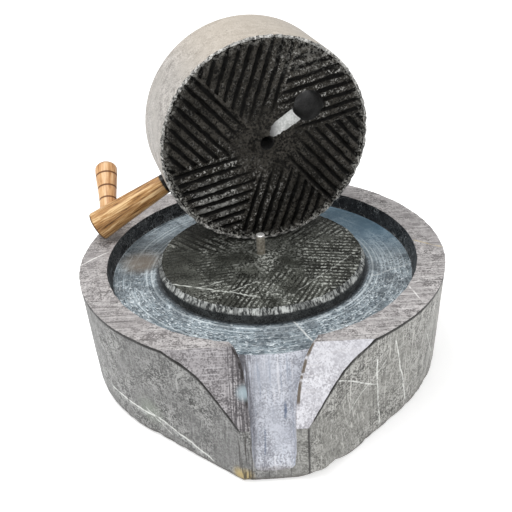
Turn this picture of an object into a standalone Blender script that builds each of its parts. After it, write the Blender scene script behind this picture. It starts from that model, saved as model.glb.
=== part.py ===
"""Rotary quern, opened: a basin stone with its bed disc and spindle pin, and the runner stone,
stood on its rim on the bed with its wooden handle leaning on the basin.

Metres, +Z up. The origin is the middle of the underside, below the spindle. The spout points to -Y.
"""
import math

import bmesh
import bpy
from mathutils import Vector

GAP = 0.0003                    # clearance between two pieces that touch
CUT_PAST = 0.01                 # how far a cutter runs on past the stone it cuts
ROUND_STEPS = 96                # facets of a stone turned about its own axis

# Basin stone
RIM_HEIGHT = 0.1035
RIM_RADIUS = 0.1725
FOOT_RADIUS = 0.1665            # the side leans in a little towards the ground
RIM_INNER_RADIUS = 0.1463
FLOOR_OUTER_RADIUS = 0.1435
FLOOR_OUTER_HEIGHT = 0.0875
FLOOR_HEIGHT = 0.0885           # channel floor at the foot of the bed disc
BED_HEIGHT = 0.1030
BED_RADIUS = 0.0990
BED_TOP_RADIUS = 0.0952
BED_SHOULDER_HEIGHT = 0.0972    # where the rough bevel of the disc begins
BED_FOOT_RADIUS = 0.0982
RING_RADIUS = 0.1060            # turned moulding round the foot of the disc
RING_HALF_WIDTH = 0.0018
RING_RISE = 0.0010
FOOT_ROUNDING = 0.004

# Spout
NOSE_REACH = 0.1955             # spindle to the spout's front face
NOSE_HALF_WIDTH = 0.0270
NOSE_OFFSET = 0.0010            # the nose stands a little to the right of the axis
FLANK_SUM_TOP = 0.2220          # x + |y| along the 45 degree flanks, at the rim
FLANK_SUM_FOOT_RIGHT = 0.2360   # the same on the fuller right flank, at the ground
FLANK_BLEND = 0.006
FLANK_TURN_HEIGHT = 0.060       # above this the flanks have their upper, hollow plan
SHOULDER_START = 0.1500         # the sloping cut: from here at rim height ...
SHOULDER_END_HEIGHT = 0.0535    # ... down to this height at the front face
CHIP_ANGLE = math.radians(13)   # break in the bottom edge beside the nose
CHIP_WIDTH = math.radians(4.5)
CHIP_DEPTH = 0.010
CHIP_HEIGHT = 0.009

# Spindle pin
PIN_RADIUS = 0.0043
PIN_RISE = 0.0205               # length that stands out of the bed
PIN_DEPTH = 0.025               # length set in the bed

# Runner stone, in its own frame: grinding face at z = 0, back at z = RUNNER_THICKNESS
RUNNER_RADIUS = 0.1003
RUNNER_THICKNESS = 0.0830
RUNNER_YAW = math.radians(14.8)
RUNNER_FACE = (0.0112, 0.0260)  # middle of the grinding face above the bed
FACE_BEVEL = 0.0025
BACK_ROUNDING = 0.006
SPINDLE_HOLE_RADIUS = 0.0065
SPINDLE_HOLE_DEPTH = 0.036
FEED_HOLE_RADIUS = 0.01425
FEED_HOLE_AT = (0.0410, 0.0305)     # right of and above the spindle hole, on the face
FEED_SLOT_END = (0.0020, 0.0085)    # where the slot runs out, just above the spindle hole
FEED_SLOT_HALF_WIDTH = 0.0068
FEED_SLOT_DEPTH = 0.0100            # at the feed hole

# Dressing of the grinding face: harps of parallel furrows
HARP_COUNT = 6
HARP_START = math.radians(10)
FURROW_PITCH = 0.0093
FURROW_HALF_WIDTH = 0.0021
FURROW_DEPTH = 0.0022
FURROW_HUB_RADIUS = 0.016       # nothing is cut closer to the spindle hole

# Handle
SOCKET_RADIUS = 0.0125
SOCKET_DEPTH = 0.0300
SOCKET_SETBACK = 0.0548         # from the grinding face to the socket's middle
ARM_DROP = math.radians(28.3)   # below the horizontal
ARM_SKEW = math.radians(5.5)    # lean in the loose socket, away from the grinding face
ARM_DRIFT = 0.0009              # how far its axis sits off the socket's at the mouth
ARM_REACH = 0.0828              # from the runner's side to the arm's outer end
ARM_TENON = 0.0260              # length inside the socket
ARM_INNER_RADIUS = 0.0098
ARM_OUTER_RADIUS = 0.0150
ARM_END_BEVEL = 0.0012
GRIP_FROM_END = 0.0140          # grip's axis to the arm's outer end
GRIP_TURN = math.radians(23.2)  # about the arm, from straight back towards up
GRIP_LEAN = math.radians(15.9)  # towards the runner
GRIP_LENGTH = 0.0680            # from the arm's axis to the domed end
GRIP_TENON = 0.0060             # the grip's foot stops this far above the arm's axis
GRIP_FOOT_RADIUS = 0.0087
GRIP_HEAD_RADIUS = 0.0113
GRIP_FLARE_START = 0.0180       # the foot is straight up to here
GRIP_LINES = (0.0218, 0.0357, 0.0510)   # scribed lines, from the arm's axis
LINE_DEPTH = 0.0006
LINE_HALF_WIDTH = 0.0007
GRIP_DOME = 0.0075


def clear_scene():
    for old in list(bpy.data.objects):
        bpy.data.objects.remove(old, do_unlink=True)


def collection(name):
    made = bpy.data.collections.new(name)
    bpy.context.scene.collection.children.link(made)
    return made


def material(name, colour, roughness, metallic=0.0):
    made = bpy.data.materials.new(name)
    made.use_nodes = True
    shader = made.node_tree.nodes["Principled BSDF"]
    shader.inputs["Base Color"].default_value = (*colour, 1.0)
    shader.inputs["Roughness"].default_value = roughness
    shader.inputs["Metallic"].default_value = metallic
    return made


def add_object(name, bm, home, finish=None):
    """Turn a bmesh into a named object; a cutter is one without a finish."""
    bmesh.ops.recalc_face_normals(bm, faces=bm.faces)
    mesh = bpy.data.meshes.new(name)
    bm.to_mesh(mesh)
    bm.free()
    made = bpy.data.objects.new(name, mesh)
    home.objects.link(made)
    if finish:
        mesh.materials.append(finish)
        mesh.shade_smooth()
        mesh.set_sharp_from_angle(angle=math.radians(30))
    else:
        made.hide_render = True
        made.display_type = "WIRE"
    return made


def turned(name, profile, home, finish=None, steps=ROUND_STEPS):
    """Screw a profile of (radius, height) points about Z: top to bottom on the outer side."""
    mesh = bpy.data.meshes.new(name)
    points = [(radius, 0.0, height) for radius, height in profile]
    edges = [(i, i + 1) for i in range(len(points) - 1)]
    mesh.from_pydata(points, edges, [])
    made = bpy.data.objects.new(name, mesh)
    home.objects.link(made)
    screw = made.modifiers.new("turn", "SCREW")
    screw.steps = steps
    screw.render_steps = steps
    screw.use_merge_vertices = True
    screw.merge_threshold = 0.00001
    screw.use_smooth_shade = False
    if finish:
        mesh.materials.append(finish)
    else:
        made.hide_render = True
        made.display_type = "WIRE"
    return made


def loft(name, sections, home, finish=None):
    """Skin a row of sections, each a ring of the same number of points, and cap both ends."""
    bm = bmesh.new()
    rings = [[bm.verts.new(point) for point in section] for section in sections]
    count = len(rings[0])
    for lower, upper in zip(rings, rings[1:]):
        for i in range(count):
            j = (i + 1) % count
            bm.faces.new((lower[i], lower[j], upper[j], upper[i]))
    bm.faces.new(list(reversed(rings[0])))
    bm.faces.new(rings[-1])
    return add_object(name, bm, home, finish)


def cylinder(name, radius, low, high, home, steps=48):
    bm = bmesh.new()
    bmesh.ops.create_cone(
        bm, cap_ends=True, segments=steps, radius1=radius, radius2=radius, depth=high - low
    )
    bmesh.ops.translate(bm, verts=bm.verts, vec=(0.0, 0.0, (low + high) / 2))
    return add_object(name, bm, home)


def cut(target, cutter):
    boolean = target.modifiers.new(cutter.name, "BOOLEAN")
    boolean.operation = "DIFFERENCE"
    boolean.solver = "MANIFOLD"     # the exact solver loses the stone where several cuts meet
    boolean.object = cutter


def arc(centre, radius, start, end, steps):
    """Points of (radius, height) along an arc in a turned profile, angles in degrees."""
    points = []
    for i in range(steps + 1):
        angle = math.radians(start + (end - start) * i / steps)
        points.append((centre[0] + radius * math.cos(angle), centre[1] + radius * math.sin(angle)))
    return points


# Basin stone

def smooth_step(value):
    value = min(max(value, 0.0), 1.0)
    return value * value * (3 - 2 * value)


def smooth_max(a, b, blend):
    return (a + b + math.sqrt((a - b) ** 2 + blend ** 2)) / 2


def side_radius(height):
    return FOOT_RADIUS + (RIM_RADIUS - FOOT_RADIUS) * height / RIM_HEIGHT


def nose_half_width(side):
    return NOSE_HALF_WIDTH + side * NOSE_OFFSET


def upper_plan(angle, side, circle):
    """Outline radius at the rim: a circle with a nose between hollow 45 degree flanks."""
    corner = math.atan2(nose_half_width(side), NOSE_REACH)
    if angle <= corner:
        return NOSE_REACH / math.cos(angle)
    if angle >= math.radians(45):
        return circle
    flank_sum = FLANK_SUM_TOP + side * NOSE_OFFSET
    flank = flank_sum / (math.sin(angle) + math.cos(angle))
    fade = smooth_step((math.radians(45) - angle) / math.radians(15))
    return smooth_max(flank, circle, FLANK_BLEND * fade)


def foot_plan(angle, side, circle):
    """Outline radius at the ground: the nose's flanks run straight on to touch the circle."""
    half_width = nose_half_width(side)
    corner = math.atan2(half_width, NOSE_REACH)
    if angle <= corner:
        return NOSE_REACH / math.cos(angle)
    reach = math.hypot(half_width, NOSE_REACH)
    touch = corner + math.acos(circle / reach)
    radius = circle
    if angle < touch:
        radius = circle / math.cos(touch - angle)
    if side > 0 and angle < math.radians(45):
        full = FLANK_SUM_FOOT_RIGHT / (math.sin(angle) + math.cos(angle))
        nose = reach * math.cos(corner) / math.cos(angle)
        radius = max(radius, min(full, nose))
    return radius


def basin_outline(angle, height):
    """Radius of the basin at an angle from the spout's direction, positive to the right."""
    side = 1 if angle >= 0 else -1
    turn = abs(angle)
    circle = side_radius(height)
    mix = smooth_step(height / FLANK_TURN_HEIGHT)
    radius = foot_plan(turn, side, circle) * (1 - mix) + upper_plan(turn, side, circle) * mix
    chip = CHIP_DEPTH * math.exp(-(((angle - CHIP_ANGLE) / CHIP_WIDTH) ** 2))
    return radius - chip * max(0.0, 1 - height / CHIP_HEIGHT)


def basin_angles():
    """Angles from the spout's direction: fine across the nose and flanks, coarse behind."""
    right = math.degrees(math.atan2(nose_half_width(1), NOSE_REACH))
    left = math.degrees(math.atan2(nose_half_width(-1), NOSE_REACH))
    front = [-left, -left / 2, 0.0, right / 2, right]
    flank = [2.2 * i for i in range(1, 18)]
    rest_from = right + flank[-1]
    rest_to = 360 - left - flank[-1]
    rest_steps = 68
    rest = [rest_from + (rest_to - rest_from) * i / rest_steps for i in range(1, rest_steps)]
    degrees = front + [right + step for step in flank] + rest
    degrees += [360 - left - step for step in reversed(flank)]
    return [math.radians(value if value <= 180 else value - 360) for value in degrees]


def basin_section(height, inset=0.0):
    points = []
    for angle in basin_angles():
        radius = basin_outline(angle, height) - inset
        points.append((radius * math.sin(angle), -radius * math.cos(angle), height))
    return points


def basin_body(home, finish):
    """The whole outside of the stone, with some height to spare above the rim."""
    sections = [basin_section(0.0, FOOT_ROUNDING)]
    sections.append(basin_section(FOOT_ROUNDING * 0.3, FOOT_ROUNDING * 0.3))
    sections.append(basin_section(FOOT_ROUNDING))
    sections += [basin_section(height) for height in (0.015, 0.030, 0.045, FLANK_TURN_HEIGHT)]
    sections.append(basin_section(RIM_HEIGHT + CUT_PAST / 2))
    return loft("basin_stone", sections, home, finish)


def channel_cutter(home):
    """Everything above the rim and the bed disc and between them, turned about the spindle."""
    above = RIM_HEIGHT + CUT_PAST
    outside = NOSE_REACH + 3 * CUT_PAST
    ring_in = RING_RADIUS - RING_HALF_WIDTH
    ring_out = RING_RADIUS + RING_HALF_WIDTH
    profile = [
        (0.0, above),
        (outside, above),
        (outside, RIM_HEIGHT),
        (RIM_INNER_RADIUS, RIM_HEIGHT),
        (FLOOR_OUTER_RADIUS, FLOOR_OUTER_HEIGHT + 0.002),
        (FLOOR_OUTER_RADIUS - 0.002, FLOOR_OUTER_HEIGHT),
        (ring_out, FLOOR_HEIGHT - 0.0005),
        (RING_RADIUS, FLOOR_HEIGHT + RING_RISE),
        (ring_in, FLOOR_HEIGHT),
        (BED_FOOT_RADIUS, FLOOR_HEIGHT),
        (BED_RADIUS, BED_SHOULDER_HEIGHT),
        (BED_TOP_RADIUS + 0.001, BED_HEIGHT - 0.0012),
        (BED_TOP_RADIUS, BED_HEIGHT),
        (0.0, BED_HEIGHT),
    ]
    return turned("channel_cutter", profile, home)


def shoulder_cutter(home):
    """A block whose underside is the spout's sloping plane."""
    run = NOSE_REACH - SHOULDER_START
    fall = RIM_HEIGHT - SHOULDER_END_HEIGHT
    slope = Vector((0.0, -run, -fall)).normalized()
    outward = Vector((0.0, -fall, run)).normalized()
    top = Vector((0.0, -SHOULDER_START, RIM_HEIGHT)) - slope * 0.03
    low = Vector((0.0, -NOSE_REACH, SHOULDER_END_HEIGHT)) + slope * 0.04
    sections = []
    for side in (-1, 1):
        across = Vector((side * 0.12, 0.0, 0.0))
        sections.append([
            top + across, low + across, low + across + outward * 0.08, top + across + outward * 0.08,
        ])
    return loft("shoulder_cutter", sections, home)


def trough_section(y, floor, centre, half_floor, half_top, top):
    """A round-bottomed channel section across the spout, facing up."""
    corner = 0.3 * half_floor
    dish = 0.0012
    right = [
        (0.0, floor),
        (half_floor * 0.6, floor + dish * 0.4),
        (half_floor - corner * 0.45, floor + dish),
        (half_floor, floor + corner * 0.8),
        (half_floor + (half_top - half_floor) * 0.5, floor + 0.016),
        (half_top, top),
    ]
    ring = [(centre + x, y, z) for x, z in right]
    ring += [(centre - x, y, z) for x, z in reversed(right[1:])]
    return ring


def chute_floor(y):
    """Height of the chute's floor: level with the channel, then straight down to the front."""
    start = -0.1405
    end_height = 0.0110
    if y >= start:
        return FLOOR_HEIGHT + 0.0001
    return FLOOR_HEIGHT + (end_height - FLOOR_HEIGHT) * (start - y) / (NOSE_REACH + start)


def chute_cutter(home):
    top = RIM_HEIGHT + CUT_PAST
    stations = (                # y, centre, half width of floor and of top
        (-0.1210, 0.0045, 0.0345, 0.0400),
        (-0.1405, 0.0045, 0.0330, 0.0405),
        (-0.1480, 0.0040, 0.0270, 0.0350),
        (-0.1580, 0.0030, 0.0215, 0.0275),
        (-0.1700, 0.0015, 0.0180, 0.0230),
        (-0.1830, 0.0005, 0.0165, 0.0200),
        (-NOSE_REACH - CUT_PAST, 0.0000, 0.0160, 0.0185),
    )
    sections = []
    for y, centre, half_floor, half_top in stations:
        sections.append(trough_section(y, chute_floor(y), centre, half_floor, half_top, top))
    return loft("chute_cutter", sections, home)


def build_basin(home, cutters, finish):
    stone = basin_body(home, finish)
    cut(stone, channel_cutter(cutters))
    cut(stone, shoulder_cutter(cutters))
    cut(stone, chute_cutter(cutters))
    hole = cylinder(
        "pin_hole_cutter", PIN_RADIUS + GAP, BED_HEIGHT - PIN_DEPTH - GAP, BED_HEIGHT + CUT_PAST, cutters
    )
    cut(stone, hole)


def build_pin(home, finish):
    top = BED_HEIGHT + PIN_RISE
    bottom = BED_HEIGHT - PIN_DEPTH
    profile = [(0.0, top), (PIN_RADIUS - 0.0014, top)]
    profile += arc((PIN_RADIUS - 0.0014, top - 0.0014), 0.0014, 60, 0, 3)
    profile += [(PIN_RADIUS, bottom), (0.0, bottom)]
    turned("spindle_pin", profile, home, finish, steps=40)


# Runner stone

def runner_frame(home):
    """Empty at the middle of the grinding face: its Z runs into the stone, its -Y points up."""
    frame = bpy.data.objects.new("runner_frame", None)
    home.objects.link(frame)
    frame.location = (*RUNNER_FACE, BED_HEIGHT + GAP + RUNNER_RADIUS)
    frame.rotation_euler = (math.radians(-90), 0.0, RUNNER_YAW)
    return frame


def on_face(right, up, depth=0.0):
    """A point of the grinding face, seen from the front, in the runner's own frame."""
    return Vector((right, -up, depth))


def furrow(bm, start, end):
    """A V-shaped prism along a furrow of the grinding face."""
    along = (end - start).normalized()
    across = Vector((-along.y, along.x, 0.0)) * FURROW_HALF_WIDTH * 2
    rings = []
    for point in (start, end):
        outside = Vector((0.0, 0.0, -FURROW_DEPTH))
        inside = Vector((0.0, 0.0, FURROW_DEPTH))
        rings.append([
            bm.verts.new(point + outside + across),
            bm.verts.new(point + outside - across),
            bm.verts.new(point + inside),
        ])
    first, last = rings
    for i in range(3):
        j = (i + 1) % 3
        bm.faces.new((first[i], first[j], last[j], last[i]))
    bm.faces.new(first)
    bm.faces.new(last)


def dressing_cutter(home):
    """Furrows of every harp: parallel to the harp's first edge, from its second edge to the rim."""
    bm = bmesh.new()
    harp_angle = math.tau / HARP_COUNT
    for harp in range(HARP_COUNT):
        heading = HARP_START + harp * harp_angle
        along = Vector((math.cos(heading), math.sin(heading)))
        across = Vector((-along.y, along.x))
        offset = FURROW_PITCH / 2
        while offset < RUNNER_RADIUS * math.sin(harp_angle):
            begin = offset / math.tan(harp_angle) + FURROW_PITCH / 4
            if begin < FURROW_HUB_RADIUS and offset < FURROW_HUB_RADIUS:
                begin = FURROW_HUB_RADIUS
            finish = math.sqrt(RUNNER_RADIUS ** 2 - offset ** 2) + 2 * FACE_BEVEL
            start = along * begin + across * offset
            end = along * finish + across * offset
            furrow(bm, on_face(*start), on_face(*end))
            offset += FURROW_PITCH
    return add_object("dressing_cutter", bm, home)


def feed_slot_cutter(home):
    """A ramp with a round bottom, deep at the feed hole and running out near the spindle hole."""
    hole = on_face(*FEED_HOLE_AT)
    end = on_face(*FEED_SLOT_END)
    along = (end - hole).normalized()
    across = Vector((-along.y, along.x, 0.0))
    length = (end - hole).length
    sections = []
    for share in (0.0, 0.35, 0.7, 1.0):
        depth = FEED_SLOT_DEPTH * (1 - share) + 0.0004
        middle = hole + along * length * share
        ring = []
        for i in range(9):
            angle = math.pi * i / 8
            bulge = FEED_SLOT_HALF_WIDTH * math.cos(angle)
            ring.append(middle + across * bulge + Vector((0.0, 0.0, depth * math.sin(angle))))
        ring.append(middle - across * FEED_SLOT_HALF_WIDTH + Vector((0.0, 0.0, -0.004)))
        ring.append(middle + across * FEED_SLOT_HALF_WIDTH + Vector((0.0, 0.0, -0.004)))
        sections.append(ring)
    return loft("feed_slot_cutter", sections, home)


def build_runner(home, cutters, finish, frame):
    back = RUNNER_THICKNESS
    profile = [(0.0, back)]
    profile += arc((RUNNER_RADIUS - BACK_ROUNDING, back - BACK_ROUNDING), BACK_ROUNDING, 90, 0, 4)
    profile += [(RUNNER_RADIUS, FACE_BEVEL), (RUNNER_RADIUS - FACE_BEVEL * 0.8, 0.0), (0.0, 0.0)]
    stone = turned("runner_stone", profile, home, finish)
    stone.parent = frame
    spindle = cylinder(
        "spindle_hole_cutter", SPINDLE_HOLE_RADIUS, -CUT_PAST, SPINDLE_HOLE_DEPTH, cutters, steps=32
    )
    feed = cylinder("feed_hole_cutter", FEED_HOLE_RADIUS, -CUT_PAST, back + CUT_PAST, cutters)
    feed.location = on_face(*FEED_HOLE_AT)
    socket = cylinder(
        "socket_cutter", SOCKET_RADIUS, RUNNER_RADIUS - SOCKET_DEPTH, RUNNER_RADIUS + CUT_PAST, cutters
    )
    socket.location = (0.0, 0.0, SOCKET_SETBACK)
    socket.rotation_euler = Vector((0.0, 0.0, 1.0)).rotation_difference(socket_direction()).to_euler()
    for cutter in (dressing_cutter(cutters), feed_slot_cutter(cutters), spindle, feed, socket):
        cutter.parent = frame
        cut(stone, cutter)


# Handle

def socket_direction():
    """Straight out of the runner's side, in the runner's frame."""
    return Vector((-math.cos(ARM_DROP), math.sin(ARM_DROP), 0.0))


def arm_direction():
    return socket_direction() * math.cos(ARM_SKEW) + Vector((0.0, 0.0, math.sin(ARM_SKEW)))


def arm_mouth():
    """Where the arm's axis leaves the runner's side."""
    return socket_direction() * RUNNER_RADIUS + Vector((0.0, 0.0, SOCKET_SETBACK + ARM_DRIFT))


def grip_direction():
    arm = arm_direction()
    back = Vector((0.0, 0.0, 1.0))
    back = (back - arm * back.dot(arm)).normalized()
    up = back.cross(arm)
    if up.y > 0:
        up = -up
    upright = back * math.cos(GRIP_TURN) + up * math.sin(GRIP_TURN)
    return upright * math.cos(GRIP_LEAN) - arm * math.sin(GRIP_LEAN)


def stand_along(made, place, direction, frame):
    made.parent = frame
    made.location = place
    made.rotation_euler = Vector((0.0, 0.0, 1.0)).rotation_difference(direction).to_euler()


def build_arm(home, cutters, finish, frame):
    bevel = ARM_END_BEVEL
    profile = [
        (0.0, ARM_REACH),
        (ARM_OUTER_RADIUS - bevel, ARM_REACH),
        (ARM_OUTER_RADIUS, ARM_REACH - bevel),
        (ARM_INNER_RADIUS, 0.0),
        (ARM_INNER_RADIUS, bevel - ARM_TENON),
        (ARM_INNER_RADIUS - bevel, -ARM_TENON),
        (0.0, -ARM_TENON),
    ]
    arm = turned("handle_arm", profile, home, finish, steps=56)
    stand_along(arm, arm_mouth(), arm_direction(), frame)
    mortise = cylinder(
        "mortise_cutter", GRIP_FOOT_RADIUS + GAP, GRIP_TENON - GAP, ARM_OUTER_RADIUS + 2 * CUT_PAST, cutters
    )
    stand_along(mortise, grip_place(), grip_direction(), frame)
    cut(arm, mortise)


def grip_place():
    return arm_mouth() + arm_direction() * (ARM_REACH - GRIP_FROM_END)


def grip_radius(distance):
    """Radius of the grip at a distance from the arm's axis: straight foot, then a slow flare."""
    share = smooth_step((distance - GRIP_FLARE_START) / (GRIP_LENGTH - GRIP_DOME - GRIP_FLARE_START))
    return GRIP_FOOT_RADIUS + (GRIP_HEAD_RADIUS - GRIP_FOOT_RADIUS) * share


def build_grip(home, finish, frame):
    neck = GRIP_LENGTH - GRIP_DOME
    profile = [(0.0, GRIP_LENGTH)]
    profile += [
        (GRIP_HEAD_RADIUS * math.cos(angle), neck + GRIP_DOME * math.sin(angle))
        for angle in (math.radians(18 * i) for i in range(4, -1, -1))
    ]
    heights = []
    for line in reversed(GRIP_LINES):
        heights.append((line + LINE_HALF_WIDTH, 0.0))
        heights.append((line, LINE_DEPTH))
        heights.append((line - LINE_HALF_WIDTH, 0.0))
    profile += [(grip_radius(height) - depth, height) for height, depth in heights]
    profile += [(GRIP_FOOT_RADIUS, GRIP_FLARE_START), (GRIP_FOOT_RADIUS, GRIP_TENON), (0.0, GRIP_TENON)]
    grip = turned("handle_grip", profile, home, finish, steps=40)
    stand_along(grip, grip_place(), grip_direction(), frame)


def main():
    clear_scene()
    parts = collection("rotary_quern")
    cutters = collection("cutters")
    bed_stone = material("basin_granite", (0.20, 0.20, 0.20), 0.65)
    dark_stone = material("runner_granite", (0.10, 0.095, 0.09), 0.75)
    steel = material("pin_steel", (0.55, 0.54, 0.52), 0.25, 1.0)
    arm_wood = material("arm_wood", (0.46, 0.26, 0.11), 0.45)
    grip_wood = material("grip_wood", (0.62, 0.38, 0.18), 0.50)
    build_basin(parts, cutters, bed_stone)
    build_pin(parts, steel)
    frame = runner_frame(parts)
    build_runner(parts, cutters, dark_stone, frame)
    build_arm(parts, cutters, arm_wood, frame)
    build_grip(parts, grip_wood, frame)


main()
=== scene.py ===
"""Rotary quern, opened: the finish of its stones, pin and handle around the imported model.

The stones are modelled as in the solid model, a body with voids cut out of it, but every surface is
a fine grid that carries its own tool marks. Metres, +Z up, the spout points to -Y.
"""
import math

import bmesh
import bpy
import numpy as np
from mathutils import Euler, Matrix, Vector


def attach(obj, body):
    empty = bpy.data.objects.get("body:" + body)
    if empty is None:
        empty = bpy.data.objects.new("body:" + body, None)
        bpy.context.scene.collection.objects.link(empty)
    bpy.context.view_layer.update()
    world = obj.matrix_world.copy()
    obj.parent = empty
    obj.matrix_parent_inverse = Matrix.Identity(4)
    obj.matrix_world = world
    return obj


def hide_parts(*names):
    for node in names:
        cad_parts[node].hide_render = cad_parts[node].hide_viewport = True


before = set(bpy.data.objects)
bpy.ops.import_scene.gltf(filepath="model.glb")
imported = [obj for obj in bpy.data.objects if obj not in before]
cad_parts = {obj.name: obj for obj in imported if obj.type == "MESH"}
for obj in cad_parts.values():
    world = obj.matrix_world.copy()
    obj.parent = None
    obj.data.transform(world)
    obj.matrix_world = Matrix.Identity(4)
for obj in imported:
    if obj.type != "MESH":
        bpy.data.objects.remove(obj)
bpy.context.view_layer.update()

# Camera, from the photograph's perspective
CAMERA_AT = (-0.0088, -0.6976, 0.4992)
CAMERA_TURN = math.radians(-0.3)
CAMERA_DOWN = math.radians(29.8)
CAMERA_ROLL = math.radians(-3.07)
CAMERA_LENS = 59.04             # mm on a 36 mm sensor

# Studio
FLOOR_HALF_WIDTH = 6.0
FLOOR_GLOW = 0.45
SKY_STRENGTH = 0.60
LAMPS = (                       # name, place, size, power
    ("overhead", (-0.45, 0.15, 1.5), 0.9, 15.5),
    ("front", (0.5, -1.5, 0.9), 0.8, 6.0),
)

# Basin stone, as in the solid model
RIM_HEIGHT = 0.1035
RIM_RADIUS = 0.1725
FOOT_RADIUS = 0.1665
RIM_INNER_RADIUS = 0.1463
FLOOR_OUTER_RADIUS = 0.1435
FLOOR_OUTER_HEIGHT = 0.0875
FLOOR_HEIGHT = 0.0885
BED_HEIGHT = 0.1030
BED_RADIUS = 0.0990
BED_TOP_RADIUS = 0.0952
BED_SHOULDER_HEIGHT = 0.0972
BED_FOOT_RADIUS = 0.0982
RING_RADIUS = 0.1060
RING_HALF_WIDTH = 0.0018
RING_RISE = 0.0010
FOOT_ROUNDING = 0.004
NOSE_REACH = 0.1955
NOSE_HALF_WIDTH = 0.0270
NOSE_OFFSET = 0.0010
FLANK_SUM_TOP = 0.2220
FLANK_SUM_FOOT_RIGHT = 0.2360
FLANK_BLEND = 0.006
FLANK_TURN_HEIGHT = 0.060
SHOULDER_START = 0.1500
SHOULDER_END_HEIGHT = 0.0535
CHIP_ANGLE = math.radians(13)
CHIP_WIDTH = math.radians(4.5)
CHIP_DEPTH = 0.010
CHIP_HEIGHT = 0.009
CHUTE_STATIONS = (              # y, centre, half width of floor and of top
    (-0.1210, 0.0045, 0.0345, 0.0400),
    (-0.1405, 0.0045, 0.0330, 0.0405),
    (-0.1480, 0.0040, 0.0270, 0.0350),
    (-0.1580, 0.0030, 0.0215, 0.0275),
    (-0.1700, 0.0015, 0.0180, 0.0230),
    (-0.1830, 0.0005, 0.0165, 0.0200),
    (-0.2055, 0.0000, 0.0160, 0.0185),
)
CHUTE_END_HEIGHT = 0.0110
BED_DRESSING_DEPTH = 0.0009
PIN_RADIUS = 0.0043
PIN_RISE = 0.0205
PIN_DEPTH = 0.025
GAP = 0.0003
SPARE = 0.01                    # how far a void runs on past the stone

# Runner stone and handle, as in the solid model
RUNNER_RADIUS = 0.1003
RUNNER_THICKNESS = 0.0830
RUNNER_YAW = math.radians(14.8)
RUNNER_FACE = (0.0112, 0.0260)
FACE_BEVEL = 0.0025
BACK_ROUNDING = 0.006
SPINDLE_HOLE_RADIUS = 0.0065
SPINDLE_HOLE_DEPTH = 0.036
FEED_HOLE_RADIUS = 0.01425
FEED_HOLE_AT = (0.0410, 0.0305)
FEED_SLOT_END = (0.0020, 0.0085)
FEED_SLOT_HALF_WIDTH = 0.0068
FEED_SLOT_DEPTH = 0.0100
HARP_COUNT = 6
HARP_START = math.radians(10)
FURROW_PITCH = 0.0093
FURROW_HALF_WIDTH = 0.0021
FURROW_DEPTH = 0.0022
SOCKET_RADIUS = 0.0125
SOCKET_DEPTH = 0.0300
SOCKET_SETBACK = 0.0548
ARM_DROP = math.radians(28.3)
ARM_SKEW = math.radians(5.5)
ARM_DRIFT = 0.0009
ARM_REACH = 0.0828
ARM_TENON = 0.0260
ARM_INNER_RADIUS = 0.0098
ARM_OUTER_RADIUS = 0.0150
ARM_END_BEVEL = 0.0012
GRIP_FROM_END = 0.0140
GRIP_TURN = math.radians(23.2)
GRIP_LEAN = math.radians(15.9)
GRIP_LENGTH = 0.0680
GRIP_TENON = 0.0060
GRIP_FOOT_RADIUS = 0.0087
GRIP_HEAD_RADIUS = 0.0113
GRIP_FLARE_START = 0.0180
GRIP_LINES = (0.0218, 0.0357, 0.0510)
LINE_DEPTH = 0.0006
LINE_HALF_WIDTH = 0.0007
GRIP_DOME = 0.0075

# Depths of the relief that tools and wear left
HEWN_DEPTH = 0.0005
GRAIN_DEPTH = 0.00022
FOOT_BREAK_DEPTH = 0.0022
BED_GRAIN_DEPTH = 0.00012
BED_CRUMBLE_DEPTH = 0.0012
BROW_CHIP_DEPTH = 0.0016
FLANK_DEPTH = 0.0004
WALL_DEPTH = 0.0005
FLOOR_PECK_DEPTH = 0.00022
RIM_DEPTH = 0.00012
ARRIS_WEAR = 0.0005
PECK_DEPTH = 0.0006
FINE_PECK_DEPTH = 0.0003
EDGE_CRUMBLE_DEPTH = 0.0016
EDGE_NOTCH_DEPTH = 0.0013

UP = Vector((0.0, 0.0, 1.0))

# Places of the finishes among each stone's material slots
BED, BED_EDGE, CHANNEL, WALL, RIM, SHOULDER, CHUTE, SIDE = range(8)
FACE, FACE_EDGE, RUNNER_SIDE, BORE, SLOT = range(5)


# Numbers

def smooth_step(value):
    value = np.clip(value, 0.0, 1.0)
    return value * value * (3 - 2 * value)


def lattice_value(cell, seed):
    """A repeatable number from 0 to 1 for each whole-number place."""
    mask = 0xFFFFFFFF
    mixed = cell[..., 0] * 374761393 + cell[..., 1] * 668265263 + cell[..., 2] * 1274126177
    mixed = (mixed + seed * 974634777) & mask
    mixed = ((mixed ^ (mixed >> 13)) * 1274126177) & mask
    mixed = ((mixed ^ (mixed >> 15)) * 668265263) & mask
    return ((mixed ^ (mixed >> 16)) & 0xFFFF) / 65535.0


def noise(points, size, seed):
    """Smooth noise from -1 to 1 whose lumps are about size across."""
    scaled = np.asarray(points, float) / size
    cell = np.floor(scaled).astype(np.int64)
    part = scaled - cell
    part = part * part * (3 - 2 * part)
    total = np.zeros(scaled.shape[:-1])
    for corner in np.ndindex(2, 2, 2):
        step = np.array(corner)
        weight = np.where(step == 1, part, 1 - part).prod(-1)
        total += weight * lattice_value(cell + step, seed)
    return 2 * total - 1


def rough(points, size, seed, octaves=3, fall=0.5):
    total = 0.0
    share = 1.0
    for octave in range(octaves):
        total = total + share * noise(points, size / 2 ** octave, seed + 17 * octave)
        share *= fall
    return total


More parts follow.
